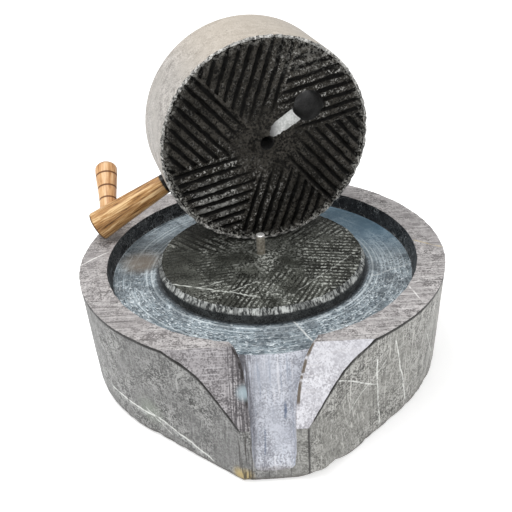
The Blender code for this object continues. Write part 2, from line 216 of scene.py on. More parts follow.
def smooth_through(xs, known_xs, known_ys):
    """A smooth curve through a few known values, read at xs."""
    known_xs = np.asarray(known_xs, float)
    known_ys = np.asarray(known_ys, float)
    slopes = np.gradient(known_ys, known_xs)
    i = np.clip(np.searchsorted(known_xs, xs) - 1, 0, len(known_xs) - 2)
    width = known_xs[i + 1] - known_xs[i]
    t = np.clip((xs - known_xs[i]) / width, 0, 1)
    a = (1 + 2 * t) * (1 - t) ** 2 * known_ys[i] + t * (1 - t) ** 2 * width * slopes[i]
    b = t * t * (3 - 2 * t) * known_ys[i + 1] - t * t * (1 - t) * width * slopes[i + 1]
    return a + b


# Meshes

def mesh_object(name, points, faces, matrix=None):
    """A mesh object whose faces point out."""
    mesh = bpy.data.meshes.new(name)
    mesh.from_pydata([tuple(p) for p in points], [], faces)
    mesh.update()
    made = bpy.data.objects.new(name, mesh)
    bpy.context.scene.collection.objects.link(made)
    bm = bmesh.new()
    bm.from_mesh(mesh)
    if bm.calc_volume(signed=True) < 0:
        bmesh.ops.reverse_faces(bm, faces=bm.faces)
    bm.to_mesh(mesh)
    bm.free()
    if matrix is not None:
        made.matrix_world = matrix
    return made


def ringed(name, rows, first, last, matrix=None):
    """A closed skin over rows of points round an axis, closed at both ends by a single point."""
    count, around = rows.shape[:2]
    points = np.concatenate([rows.reshape(-1, 3), [first], [last]])
    faces = []
    for row in range(count - 1):
        low = row * around
        for i in range(around):
            j = (i + 1) % around
            faces.append((low + i, low + j, low + around + j, low + around + i))
    end = (count - 1) * around
    for i in range(around):
        j = (i + 1) % around
        faces.append((count * around, j, i))
        faces.append((count * around + 1, end + i, end + j))
    return mesh_object(name, points, faces, matrix)


def slab(name, lower, upper, matrix=None):
    """A closed block between two grids of points of the same size."""
    m, n = lower.shape[:2]
    points = np.concatenate([lower.reshape(-1, 3), upper.reshape(-1, 3)])
    other = m * n
    faces = []
    for a in range(m - 1):
        for b in range(n - 1):
            i = a * n + b
            faces.append((i, i + n, i + n + 1, i + 1))
            faces.append((other + i, other + i + 1, other + i + n + 1, other + i + n))
    border = list(range(n))
    border += [a * n + n - 1 for a in range(1, m)]
    border += [(m - 1) * n + b for b in range(n - 2, -1, -1)]
    border += [a * n for a in range(m - 2, 0, -1)]
    for i, j in zip(border, border[1:] + border[:1]):
        faces.append((i, j, other + j, other + i))
    return mesh_object(name, points, faces, matrix)


def along(keys):
    """Points of (radius, height) along a profile; each key ends a stretch of so many rows."""
    points = [keys[0][:2]]
    for (r0, z0, *_), (r1, z1, rows) in zip(keys, keys[1:]):
        for i in range(1, rows + 1):
            points.append((r0 + (r1 - r0) * i / rows, z0 + (z1 - z0) * i / rows))
    return np.array(points)


def turned_rows(profile, angles):
    """Rows of points of a profile turned about Z; angle 0 faces -Y and angles grow to the right."""
    radius, height = profile[:, 0, None], profile[:, 1, None]
    x = radius * np.sin(angles)
    y = -radius * np.cos(angles)
    return np.stack([x, y, height + 0 * x], axis=-1)


def cut(stone, *cutters):
    """Takes the cutters out of the stone for good."""
    for cutter in cutters:
        boolean = stone.modifiers.new(cutter.name, "BOOLEAN")
        boolean.operation = "DIFFERENCE"
        boolean.solver = "MANIFOLD"
        boolean.object = cutter
    bpy.context.view_layer.update()
    evaluated = stone.evaluated_get(bpy.context.evaluated_depsgraph_get())
    carved = bpy.data.meshes.new_from_object(evaluated)
    stone.modifiers.clear()
    stone.data = carved
    for cutter in cutters:
        bpy.data.objects.remove(cutter, do_unlink=True)


def corners(mesh):
    points = np.zeros(len(mesh.vertices) * 3)
    mesh.vertices.foreach_get("co", points)
    return points.reshape(-1, 3)


def face_places(mesh):
    """Middle and direction of every face."""
    centres = np.zeros(len(mesh.polygons) * 3)
    normals = np.zeros(len(mesh.polygons) * 3)
    mesh.polygons.foreach_get("center", centres)
    mesh.polygons.foreach_get("normal", normals)
    return centres.reshape(-1, 3), normals.reshape(-1, 3)


def mark(piece, finishes, index):
    """Gives each face its finish; the marks stay with the faces when the piece cuts another."""
    mesh = piece.data
    mesh.materials.clear()
    for finish in finishes:
        mesh.materials.append(finish)
    marks = np.zeros(len(mesh.polygons), dtype=np.int32) + np.asarray(index, dtype=np.int32)
    mesh.polygons.foreach_set("material_index", marks)


def smooth(piece, sharp=34.0):
    """Shades the piece smooth between its arrises."""
    piece.data.shade_smooth()
    piece.data.set_sharp_from_angle(angle=math.radians(sharp))


def paint(piece, name, values):
    """A number for each corner point, which the finishes read."""
    layer = piece.data.attributes.new(name, "FLOAT", "POINT")
    layer.data.foreach_set("value", np.asarray(values, dtype=np.float32))


def wear_edges(piece, depth, size, seed, angle=40.0, keep=None):
    """Rubs the arrises down unevenly, into the stone."""
    bm = bmesh.new()
    bm.from_mesh(piece.data)
    bm.normal_update()
    bm.verts.ensure_lookup_table()
    limit = math.radians(angle)
    worn = set()
    for edge in bm.edges:
        if len(edge.link_faces) == 2 and edge.is_convex and edge.calc_face_angle(0.0) > limit:
            worn.update(edge.verts)
    worn = [v for v in worn if keep is None or keep(v.co)]
    if worn:
        places = np.array([v.co for v in worn])
        amount = depth * np.clip(0.35 + 0.9 * rough(places, size, seed), 0.0, 1.6)
        moves = [v.normal * -a for v, a in zip(worn, amount)]
        for v, move in zip(worn, moves):
            v.co += move
    bm.to_mesh(piece.data)
    bm.free()


# Basin stone

def nose_half_width(side):
    return NOSE_HALF_WIDTH + side * NOSE_OFFSET


def upper_plan(angle, side, circle):
    """Outline radius at the rim: a circle with a nose between hollow 45 degree flanks."""
    corner = np.arctan2(nose_half_width(side), NOSE_REACH)
    flank = (FLANK_SUM_TOP + side * NOSE_OFFSET) / (np.sin(angle) + np.cos(angle))
    fade = FLANK_BLEND * smooth_step((math.radians(45) - angle) / math.radians(15))
    blended = (flank + circle + np.sqrt((flank - circle) ** 2 + fade ** 2)) / 2
    radius = np.where(angle >= math.radians(45), circle, blended)
    return np.where(angle <= corner, NOSE_REACH / np.cos(angle), radius)


def foot_plan(angle, side, circle):
    """Outline radius at the ground: the nose's flanks run straight on to touch the circle."""
    half_width = nose_half_width(side)
    corner = np.arctan2(half_width, NOSE_REACH)
    reach = np.hypot(half_width, NOSE_REACH)
    touch = corner + np.arccos(circle / reach)
    radius = np.where(angle < touch, circle / np.cos(np.minimum(touch - angle, 1.5)), circle)
    full = FLANK_SUM_FOOT_RIGHT / (np.sin(angle) + np.cos(angle))
    nose = NOSE_REACH / np.maximum(np.cos(angle), 0.1)
    right = np.maximum(radius, np.minimum(full, nose))
    radius = np.where((side > 0) & (angle < math.radians(45)), right, radius)
    return np.where(angle <= corner, nose, radius)


def basin_outline(angle, height):
    side = np.where(angle >= 0, 1.0, -1.0)
    turn = np.abs(angle)
    circle = FOOT_RADIUS + (RIM_RADIUS - FOOT_RADIUS) * height / RIM_HEIGHT
    mix = smooth_step(height / FLANK_TURN_HEIGHT)
    radius = foot_plan(turn, side, circle) * (1 - mix) + upper_plan(turn, side, circle) * mix
    chip = CHIP_DEPTH * np.exp(-(((angle - CHIP_ANGLE) / CHIP_WIDTH) ** 2))
    return radius - chip * np.maximum(0.0, 1 - height / CHIP_HEIGHT)


def column_angles(front_steps, back_steps, front=math.radians(100)):
    """Angles round the basin, close together in front, with one on each corner of the nose."""
    ahead = np.linspace(-front, front, front_steps, endpoint=False)
    behind = np.linspace(front, math.tau - front, back_steps, endpoint=False)
    angles = np.concatenate([ahead, behind])
    for side in (-1, 1):
        corner = side * math.atan2(nose_half_width(side), NOSE_REACH)
        angles[np.argmin(np.abs(angles - corner))] = corner
    return np.where(angles > math.pi, angles - math.tau, angles)


def basin_body():
    """The outside of the stone with a slightly hollow underside, standing higher than the rim."""
    angles = column_angles(330, 120)
    rows = []
    outline = basin_outline(angles, np.zeros_like(angles)) - FOOT_ROUNDING
    for share in (0.12, 0.3, 0.5, 0.68, 0.84, 0.93):
        rows.append((outline * share, np.full_like(angles, 0.0006)))
    rows.append((outline - 0.001, np.zeros_like(angles)))
    rows.append((outline, np.zeros_like(angles)))
    heights = [FOOT_ROUNDING * 0.3, FOOT_ROUNDING * 0.65]
    heights += list(np.linspace(FOOT_ROUNDING, RIM_HEIGHT + SPARE / 2, 44))
    for height in heights:
        inset = max(0.0, FOOT_ROUNDING * 0.4 - height * 0.4)
        rows.append((basin_outline(angles, np.full_like(angles, height)) - inset,
                     np.full_like(angles, height)))
    radius = np.array([row[0] for row in rows])
    height = np.array([row[1] for row in rows])
    points = np.stack([radius * np.sin(angles), -radius * np.cos(angles), height], axis=-1)
    hewn = HEWN_DEPTH * (1 + rough(points, 0.022, 3)) / 2 + GRAIN_DEPTH * (1 + rough(points, 0.004, 5)) / 2
    foot = np.exp(-height / 0.006)
    broken = foot * FOOT_BREAK_DEPTH * np.clip(rough(points, 0.011, 9) - 0.05, 0, 1)
    side = smooth_step(height / 0.002)
    inward = (hewn + broken) * side
    points[..., 0] -= inward * np.sin(angles)
    points[..., 1] += inward * np.cos(angles)
    return ringed("basin", points, (0, 0, 0.0006), (0, 0, RIM_HEIGHT + SPARE / 2))


def bed_dressing(x, y):
    """Depth of the worn furrows of the bed: parallel in each sector of the disc."""
    sectors = (                 # from and to angle, furrow direction, pitch, all in plan
        (-50, 20, -10, 0.0056),
        (20, 80, 50, 0.0060),
        (80, 140, 110, 0.0060),
        (140, 170, -45, 0.0075),
        (170, 242, 8, 0.0052),
        (242, 310, 66, 0.0046),
    )
    angle = np.degrees(np.arctan2(y, x))
    places = np.stack([x, y, 0 * x], axis=-1)
    radius = np.hypot(x, y)
    depth = np.zeros_like(x)
    for start, end, heading, pitch in sectors:
        turn = (angle - start) % 360
        inside = turn < end - start
        a = math.radians(heading)
        across = -x * math.sin(a) + y * math.cos(a)
        across = across + 0.0006 * noise(places, 0.02, 31)
        wave = 0.5 - 0.5 * np.cos(math.tau * across / pitch)
        grown = smooth_step((radius - 0.012) / 0.05)
        depth = np.where(inside, wave ** 1.5 * grown, depth)
    worn = 0.75 + 0.5 * noise(places, 0.018, 33)
    return BED_DRESSING_DEPTH * depth * worn


def basin_void():
    """Everything above rim, channel and bed disc, turned about the spindle, with their tool marks."""
    above = RIM_HEIGHT + SPARE
    outside = NOSE_REACH + 3 * SPARE
    hole = PIN_RADIUS + GAP
    bottom = BED_HEIGHT - PIN_DEPTH - GAP
    keys = (
        (hole, bottom),
        (hole, BED_HEIGHT, 3),
        (0.030, BED_HEIGHT, 12),
        (BED_TOP_RADIUS, BED_HEIGHT, 50),
        (BED_TOP_RADIUS + 0.001, BED_HEIGHT - 0.0012, 2),
        (BED_RADIUS, BED_SHOULDER_HEIGHT, 6),
        (BED_FOOT_RADIUS, FLOOR_HEIGHT, 7),
        (RING_RADIUS - RING_HALF_WIDTH, FLOOR_HEIGHT, 4),
        (RING_RADIUS, FLOOR_HEIGHT + RING_RISE, 3),
        (RING_RADIUS + RING_HALF_WIDTH, FLOOR_HEIGHT - 0.0005, 3),
        (FLOOR_OUTER_RADIUS - 0.002, FLOOR_OUTER_HEIGHT, 22),
        (FLOOR_OUTER_RADIUS, FLOOR_OUTER_HEIGHT + 0.002, 2),
        (RIM_INNER_RADIUS, RIM_HEIGHT, 9),
        (RIM_RADIUS + 0.002, RIM_HEIGHT, 17),
        (outside, RIM_HEIGHT, 5),
        (outside, above, 1),
    )
    profile = along(keys)
    angles = column_angles(330, 120)
    points = turned_rows(profile, angles)
    radius = profile[:, 0, None]
    height = profile[:, 1, None]
    x, y = points[..., 0], points[..., 1]
    low = height < FLOOR_HEIGHT + 0.002
    bed = (radius > hole) & (radius < BED_TOP_RADIUS + 0.0002) & (height > BED_HEIGHT - 1e-6)
    brow = np.clip(1 - np.abs(height - (BED_HEIGHT + BED_SHOULDER_HEIGHT) / 2) / 0.0035, 0, 1)
    brow = brow * ((radius > BED_TOP_RADIUS - 0.0002) & (radius < BED_RADIUS + 0.0005))
    flank = (radius > BED_TOP_RADIUS) & (radius < BED_RADIUS + 0.0005) & ~low
    floor = low & (radius > RING_RADIUS + RING_HALF_WIDTH) & (radius < FLOOR_OUTER_RADIUS - 0.001)
    wall = (radius >= FLOOR_OUTER_RADIUS) & (radius <= RIM_INNER_RADIUS) & (height < RIM_HEIGHT - 1e-6)
    rim = (radius >= RIM_INNER_RADIUS) & (height <= RIM_HEIGHT + 1e-6)
    drop = bed * (bed_dressing(x, y) + BED_GRAIN_DEPTH * (1 + rough(points, 0.004, 41)))
    outer = smooth_step((radius - 0.088) / 0.0075)
    drop = drop + bed * BED_CRUMBLE_DEPTH * outer * np.clip(rough(points, 0.005, 43), 0, 1)
    drop = drop + floor * (FLOOR_PECK_DEPTH * rough(points, 0.0045, 45) + 0.0001 * rough(points, 0.002, 46))
    drop = drop + rim * RIM_DEPTH * (1 + rough(points, 0.006, 47))
    points[..., 2] -= drop
    nibbled = np.clip(0.5 + rough(points, 0.0055, 51), 0, 1.6)
    inward = brow * BROW_CHIP_DEPTH * nibbled + flank * FLANK_DEPTH * (1 + rough(points, 0.004, 53))
    outward = wall * WALL_DEPTH * rough(points, 0.006, 55)
    points[..., 0] += (outward - inward) * np.sin(angles)
    points[..., 1] -= (outward - inward) * np.cos(angles)
    return ringed("basin_void", points, (0, 0, bottom), (0, 0, above))


def shoulder_void():
    """A block whose underside is the spout's sloping plane, slightly uneven."""
    run = NOSE_REACH - SHOULDER_START
    fall = RIM_HEIGHT - SHOULDER_END_HEIGHT
    slope = Vector((0.0, -run, -fall)).normalized()
    outward = Vector((0.0, -fall, run)).normalized()
    start = Vector((0.0, -SHOULDER_START, RIM_HEIGHT))
    length = math.hypot(run, fall)
    across = np.linspace(-0.12, 0.12, 121)
    down = np.linspace(-0.03, length + 0.04, 76)
    grid_x, grid_d = np.meshgrid(across, down)
    places = np.stack([grid_x, grid_d, 0 * grid_x], axis=-1)
    sunk = 0.00025 * (1 + rough(places, 0.012, 61)) + 0.0001 * (1 + rough(places, 0.003, 63))
    lower = np.zeros(grid_x.shape + (3,))
    for axis in range(3):
        lower[..., axis] = start[axis] + slope[axis] * grid_d - outward[axis] * sunk
    lower[..., 0] += grid_x
    upper = lower + np.array(outward) * 0.08
    return slab("shoulder_void", lower, upper)


def chute_floor(y):
    """Height of the chute's floor: level with the channel, then straight down to the front."""
    start = CHUTE_STATIONS[1][0]
    fall = (CHUTE_END_HEIGHT - FLOOR_HEIGHT) * (start - y) / (NOSE_REACH + start)
    return np.where(y >= start, FLOOR_HEIGHT + 0.0001, FLOOR_HEIGHT + fall)


def chute_void():
    """The spout's open channel: a dished floor, rounded corners and flared sides."""
    ys = np.linspace(CHUTE_STATIONS[0][0], CHUTE_STATIONS[-1][0], 74)
    stations = np.array(CHUTE_STATIONS)[::-1]
    centre, half_floor, half_top = (
        smooth_through(ys, stations[:, 0], stations[:, i]) for i in (1, 2, 3)
    )
    floor = chute_floor(ys)
    top = RIM_HEIGHT + SPARE
    corner = 0.3 * half_floor
    dish = 0.0012
    knots = [                   # half a section, from the middle of the floor to the top
        (0 * ys, floor, 1),
        (half_floor * 0.6, floor + dish * 0.4, 9),
        (half_floor - corner * 0.45, floor + dish, 5),
        (half_floor, floor + corner * 0.8, 4),
        (half_floor + (half_top - half_floor) * 0.5, floor + 0.016, 6),
        (half_top, 0 * ys + top, 18),
    ]
    xs, zs = [knots[0][0]], [knots[0][1]]
    for (x0, z0, _), (x1, z1, steps) in zip(knots, knots[1:]):
        for i in range(1, steps + 1):
            xs.append(x0 + (x1 - x0) * i / steps)
            zs.append(z0 + (z1 - z0) * i / steps)
    xs, zs = np.array(xs), np.array(zs)
    left = np.stack([centre - xs, ys + 0 * xs, zs], axis=-1)[::-1]
    right = np.stack([centre + xs, ys + 0 * xs, zs], axis=-1)[1:]
    lower = np.concatenate([left, right]).swapaxes(0, 1)
    wave = 0.0003 * rough(lower, 0.012, 71) + 0.00012 * rough(lower, 0.003, 73)
    lower[..., 2] += wave * (lower[..., 1] < -0.142)
    creases = np.sin((lower[..., 2] - chute_floor(lower[..., 1])) / 0.0011) * 0.0002
    lower[..., 0] += (lower[..., 0] < -0.012) * creases
    upper = lower.copy()
    upper[..., 2] = top + 0.001 + 0.001 * np.cos(np.linspace(-1, 1, upper.shape[1]))
    return slab("chute_void", lower, upper)


def void_marks(mesh):
    """Finish of each face that the turned void leaves: bed, its edge, channel, inner wall or rim."""
    centre, _ = face_places(mesh)
    radius = np.hypot(centre[:, 0], centre[:, 1])
    height = centre[:, 2]
    marks = np.full(len(centre), RIM)
    marks[radius < RIM_INNER_RADIUS + 0.0004] = WALL
    marks[radius < FLOOR_OUTER_RADIUS - 0.0012] = CHANNEL
    marks[(radius < BED_RADIUS + 0.0006) & (height > FLOOR_HEIGHT + 0.0005)] = BED_EDGE
    marks[radius < BED_TOP_RADIUS - 0.0003] = BED
    return marks


def build_basin(finishes):
    stone = basin_body()
    turned, shoulders, chute = basin_void(), shoulder_void(), chute_void()
    mark(stone, finishes, SIDE)
    mark(turned, finishes, void_marks(turned.data))
    mark(shoulders, finishes, SHOULDER)
    mark(chute, finishes, CHUTE)
    cut(stone, turned, shoulders, chute)
    wear_edges(stone, ARRIS_WEAR, 0.006, 81, keep=lambda p: p.z > 0.003)
    smooth(stone)
    x, y, _ = corners(stone.data).T
    paint(stone, "tone", bed_dressing(x, y) / BED_DRESSING_DEPTH)
    return stone


# Runner stone

def runner_matrix():
    place = Vector((*RUNNER_FACE, BED_HEIGHT + GAP + RUNNER_RADIUS))
    return Matrix.Translation(place) @ Euler((math.radians(-90), 0.0, RUNNER_YAW)).to_matrix().to_4x4()


def on_face(right, up, depth=0.0):
    return Vector((right, -up, depth))


def furrow_depth(x, up):
    """Depth of the furrows at a place on the grinding face: parallel to each harp's first edge."""
    harp_angle = math.tau / HARP_COUNT
    turn = (np.arctan2(up, x) - HARP_START) % math.tau
    harp = np.floor(turn / harp_angle)
    heading = HARP_START + harp * harp_angle
    radius = np.hypot(x, up)
    across = -x * np.sin(heading) + up * np.cos(heading)
    places = np.stack([x, up, 0 * x], axis=-1)
    wavy = across + 0.0005 * noise(places, 0.012, 101)
    offset = (wavy / FURROW_PITCH) % 1.0 - 0.5
    width = FURROW_HALF_WIDTH * (1.0 + 0.25 * noise(places, 0.009, 103))
    share = np.clip(1 - np.abs(offset) * FURROW_PITCH / (width * 1.35), 0, 1)
    grown = smooth_step((radius - 0.010) / 0.030)
    fade = 0.55 + 0.45 * smooth_step((radius - 0.02) / 0.05)
    return FURROW_DEPTH * share ** 0.8 * grown * fade


def runner_body():
    back = RUNNER_THICKNESS
    arc = []
    for i in range(5):
        a = math.radians(90 * i / 4)
        arc.append(
            (RUNNER_RADIUS - BACK_ROUNDING * (1 - math.cos(a)), back - BACK_ROUNDING * (1 - math.sin(a)))
        )
    keys = [(0.0012, 0.0), (RUNNER_RADIUS - FACE_BEVEL * 0.8, 0.0, 84), (RUNNER_RADIUS, FACE_BEVEL, 3)]
    keys.append((*arc[0], 38))
    keys += [(*point, 1) for point in arc[1:]]
    keys.append((0.004, back, 12))
    profile = along(keys)
    angles = np.linspace(0, math.tau, 560, endpoint=False)
    radius, depth = profile[:, 0, None], profile[:, 1, None]
    x = radius * np.cos(angles)
    up = radius * np.sin(angles)
    flat = np.stack([x, up, depth + 0 * x], axis=-1)
    face = depth < 1e-6
    near_face = np.exp(-depth / 0.0035)
    cutting = furrow_depth(x, up)
    pecks = PECK_DEPTH * (1 + rough(flat, 0.0040, 111)) + FINE_PECK_DEPTH * (1 + rough(flat, 0.0022, 113))
    edge = smooth_step((radius - 0.0885) / 0.009)
    crumbled = EDGE_CRUMBLE_DEPTH * np.clip(rough(flat, 0.0042, 115) + 0.15, 0, 1.5) * edge
    sunk = face * (cutting + pecks + crumbled)
    side = (radius > RUNNER_RADIUS - 0.0015) & ~face
    notch = near_face * (0.55 * cutting + EDGE_NOTCH_DEPTH * np.clip(rough(flat, 0.0045, 117) + 0.3, 0, 1.5))
    smooth_side = 0.0001 * (1 + noise(flat, 0.02, 119)) + 0.00005 * (1 + noise(flat, 0.003, 121))
    inward = side * (notch + smooth_side)
    inner = (radius - inward) / np.maximum(radius, 1e-6)
    rolled = near_face * ~face * 0.5 * cutting
    hollow = (depth > back - 1e-6) * 0.0002 * (1 + rough(flat, 0.015, 123))
    z = depth + sunk + rolled - hollow
    points = np.stack([x * inner, -up * inner, z + 0 * x], axis=-1)
    return ringed("runner", points, (0, 0, 0.0008), (0, 0, back - 0.0003), runner_matrix())


def bore(name, radius, low, high, local, steps=72, rows=24, worn=0.0, mouth=0.0):
    """A round cutter along its own Z, with a slightly uneven wall and a worn mouth at its low end."""
    heights = np.linspace(low, high, rows)
    angles = np.linspace(0, math.tau, steps, endpoint=False)
    profile = np.stack([np.full(rows, radius), heights], axis=-1)
    points = turned_rows(profile, angles)
    uneven = worn * rough(points, 0.006, 131)
    flare = mouth * np.exp(-np.abs(points[..., 2]) / 0.0012)
    scale = 1 + (uneven + flare) / radius
    points[..., 0] *= scale
    points[..., 1] *= scale
    return ringed(name, points, (0, 0, low), (0, 0, high), runner_matrix() @ local)


def feed_slot():
    """A ramp with a round bottom, deep at the feed hole and running out near the spindle hole."""
    hole, end = on_face(*FEED_HOLE_AT), on_face(*FEED_SLOT_END)
    run = (end - hole).normalized()
    across = Vector((-run.y, run.x, 0.0))
    length = (end - hole).length
    stations, steps = 36, 24
    lower = np.zeros((stations, steps + 1, 3))
    upper = np.zeros((stations, steps + 1, 3))
    for i in range(stations):
        share = i / (stations - 1)
        depth = FEED_SLOT_DEPTH * (1 - share) + 0.0006
        middle = hole + run * length * share
        for j in range(steps + 1):
            angle = math.pi * j / steps
            bulge = FEED_SLOT_HALF_WIDTH * math.cos(angle)
            lower[i, j] = middle + across * bulge + Vector((0, 0, depth * math.sin(angle)))
            upper[i, j] = middle + across * bulge + Vector((0, 0, -0.004))
    lower[..., 2] += 0.0002 * rough(lower, 0.005, 141)
    return slab("feed_slot", lower, upper, runner_matrix())


def socket_direction():
    return Vector((-math.cos(ARM_DROP), math.sin(ARM_DROP), 0.0))


def arm_direction():
    return socket_direction() * math.cos(ARM_SKEW) + UP * math.sin(ARM_SKEW)


def arm_mouth():
    return socket_direction() * RUNNER_RADIUS + UP * (SOCKET_SETBACK + ARM_DRIFT)


def turned_to(place, direction):
    """A matrix that stands a Z axis along a direction, in the runner's frame."""
    turn = UP.rotation_difference(direction).to_matrix().to_4x4()
    return Matrix.Translation(place) @ turn


def runner_marks(mesh):
    centre, _ = face_places(mesh)
    radius = np.hypot(centre[:, 0], centre[:, 1])
    depth = centre[:, 2]
    marks = np.full(len(centre), RUNNER_SIDE)
    marks[depth < 0.0034] = FACE_EDGE
    marks[(depth < 0.006) & (radius < RUNNER_RADIUS - 0.0028)] = FACE
    return marks


def build_runner(finishes):
    stone = runner_body()
    place = Matrix.Translation(on_face(*FEED_HOLE_AT))
    feed = bore("feed_hole", FEED_HOLE_RADIUS, -SPARE, RUNNER_THICKNESS + SPARE, place,
                steps=96, rows=50, worn=0.0002, mouth=0.0006)
    spindle = bore("spindle_hole", SPINDLE_HOLE_RADIUS, -SPARE, SPINDLE_HOLE_DEPTH, Matrix.Identity(4),
                   steps=56, rows=20, worn=0.0001, mouth=0.0004)
    socket = bore("socket", SOCKET_RADIUS, RUNNER_RADIUS - SOCKET_DEPTH, RUNNER_RADIUS + SPARE,
                  turned_to(Vector((0, 0, SOCKET_SETBACK)), socket_direction()), worn=0.0001)
    slot = feed_slot()
    mark(stone, finishes, runner_marks(stone.data))
    mark(slot, finishes, SLOT)
    for hole in (feed, spindle, socket):
        mark(hole, finishes, BORE)
    cut(stone, slot, feed, spindle, socket)
    smooth(stone, sharp=50.0)
    x, y, depth = corners(stone.data).T
    tone = furrow_depth(x, -y) / FURROW_DEPTH
    paint(stone, "tone", tone * np.exp(-depth / 0.006))
    return stone


# Handle and pin

def rod(name, keys, matrix, steps, wobble, seed):
    """A turned piece with slightly uneven sides; its profile runs up from the axis to the axis."""
    profile = along(keys)
    angles = np.linspace(0, math.tau, steps, endpoint=False)
    points = turned_rows(profile, angles)
    radius = profile[:, 0, None]
    uneven = wobble * (rough(points * (1, 1, 0.25), 0.008, seed) - 1)
    scale = 1 + uneven / np.maximum(radius, 0.002)
    points[..., 0] *= scale
    points[..., 1] *= scale
    low, high = profile[0, 1], profile[-1, 1]
    return ringed(name, points, (0, 0, low), (0, 0, high), matrix)


def grip_place():
    return arm_mouth() + arm_direction() * (ARM_REACH - GRIP_FROM_END)


def grip_direction():
    arm = arm_direction()
    back = (UP - arm * UP.dot(arm)).normalized()
    up = back.cross(arm)
    if up.y > 0:
        up = -up
    upright = back * math.cos(GRIP_TURN) + up * math.sin(GRIP_TURN)
    return upright * math.cos(GRIP_LEAN) - arm * math.sin(GRIP_LEAN)


def build_arm(finish, end_grain):
    bevel = ARM_END_BEVEL
    keys = (
        (0.001, -ARM_TENON),
        (ARM_INNER_RADIUS - bevel, -ARM_TENON, 3),
        (ARM_INNER_RADIUS, bevel - ARM_TENON, 2),
        (ARM_INNER_RADIUS, 0.0, 10),
        (ARM_OUTER_RADIUS, ARM_REACH - bevel, 60),
        (ARM_OUTER_RADIUS - bevel * 0.4, ARM_REACH - bevel * 0.3, 2),
        (ARM_OUTER_RADIUS - bevel, ARM_REACH, 1),
        (0.001, ARM_REACH, 8),
    )
    place = runner_matrix() @ turned_to(arm_mouth(), arm_direction())
    arm = rod("arm", keys, place, 72, 0.00012, 151)
    mortise = bore("mortise", GRIP_FOOT_RADIUS + GAP, GRIP_TENON - GAP, ARM_OUTER_RADIUS + 2 * SPARE,
                   turned_to(grip_place(), grip_direction()), steps=56)
    cut(arm, mortise)
    _, normal = face_places(arm.data)
    mark(arm, (finish, end_grain), np.abs(normal[:, 2]) > 0.7)
    smooth(arm)
    return arm


def build_grip(finish):
    neck = GRIP_LENGTH - GRIP_DOME

    def radius(height):
        share = smooth_step((height - GRIP_FLARE_START) / (neck - GRIP_FLARE_START))
        return float(GRIP_FOOT_RADIUS + (GRIP_HEAD_RADIUS - GRIP_FOOT_RADIUS) * share)

    keys = [(0.001, GRIP_TENON), (GRIP_FOOT_RADIUS, GRIP_TENON, 2), (GRIP_FOOT_RADIUS, 0.0150, 6)]
    height = 0.0150
    while height < neck - 0.0004:
        height += 0.00035
        nearest = min(abs(height - line) for line in GRIP_LINES)
        groove = LINE_DEPTH * max(0.0, 1 - nearest / (LINE_HALF_WIDTH * 1.2))
        keys.append((radius(height) - groove, height, 1))
    for i in range(1, 12):
        a = math.radians(90 * i / 12)
        keys.append((GRIP_HEAD_RADIUS * math.cos(a), neck + GRIP_DOME * math.sin(a), 1))
    keys.append((0.0008, GRIP_LENGTH - 0.00002, 1))
    place = runner_matrix() @ turned_to(grip_place(), grip_direction())
    grip = rod("grip", keys, place, 64, 0.00008, 161)
    mark(grip, (finish,), 0)
    smooth(grip, sharp=60.0)
    return grip


def build_pin(finish):
    top, bottom = BED_HEIGHT + PIN_RISE, BED_HEIGHT - PIN_DEPTH
    keys = [(0.0005, bottom), (PIN_RADIUS - 0.0003, bottom, 2), (PIN_RADIUS - 0.0001, top - 0.0016, 30)]
    for i in range(1, 7):
        a = math.radians(90 * i / 7)
        keys.append((PIN_RADIUS - 0.0015 + 0.0014 * math.cos(a), top - 0.0014 + 0.0012 * math.sin(a), 1))
    keys.append((0.0005, top - 0.0001, 4))
    pin = rod("pin", keys, Matrix.Identity(4), 48, 0.00004, 171)
    mark(pin, (finish,), 0)
    smooth(pin)
    return pin


# Finishes

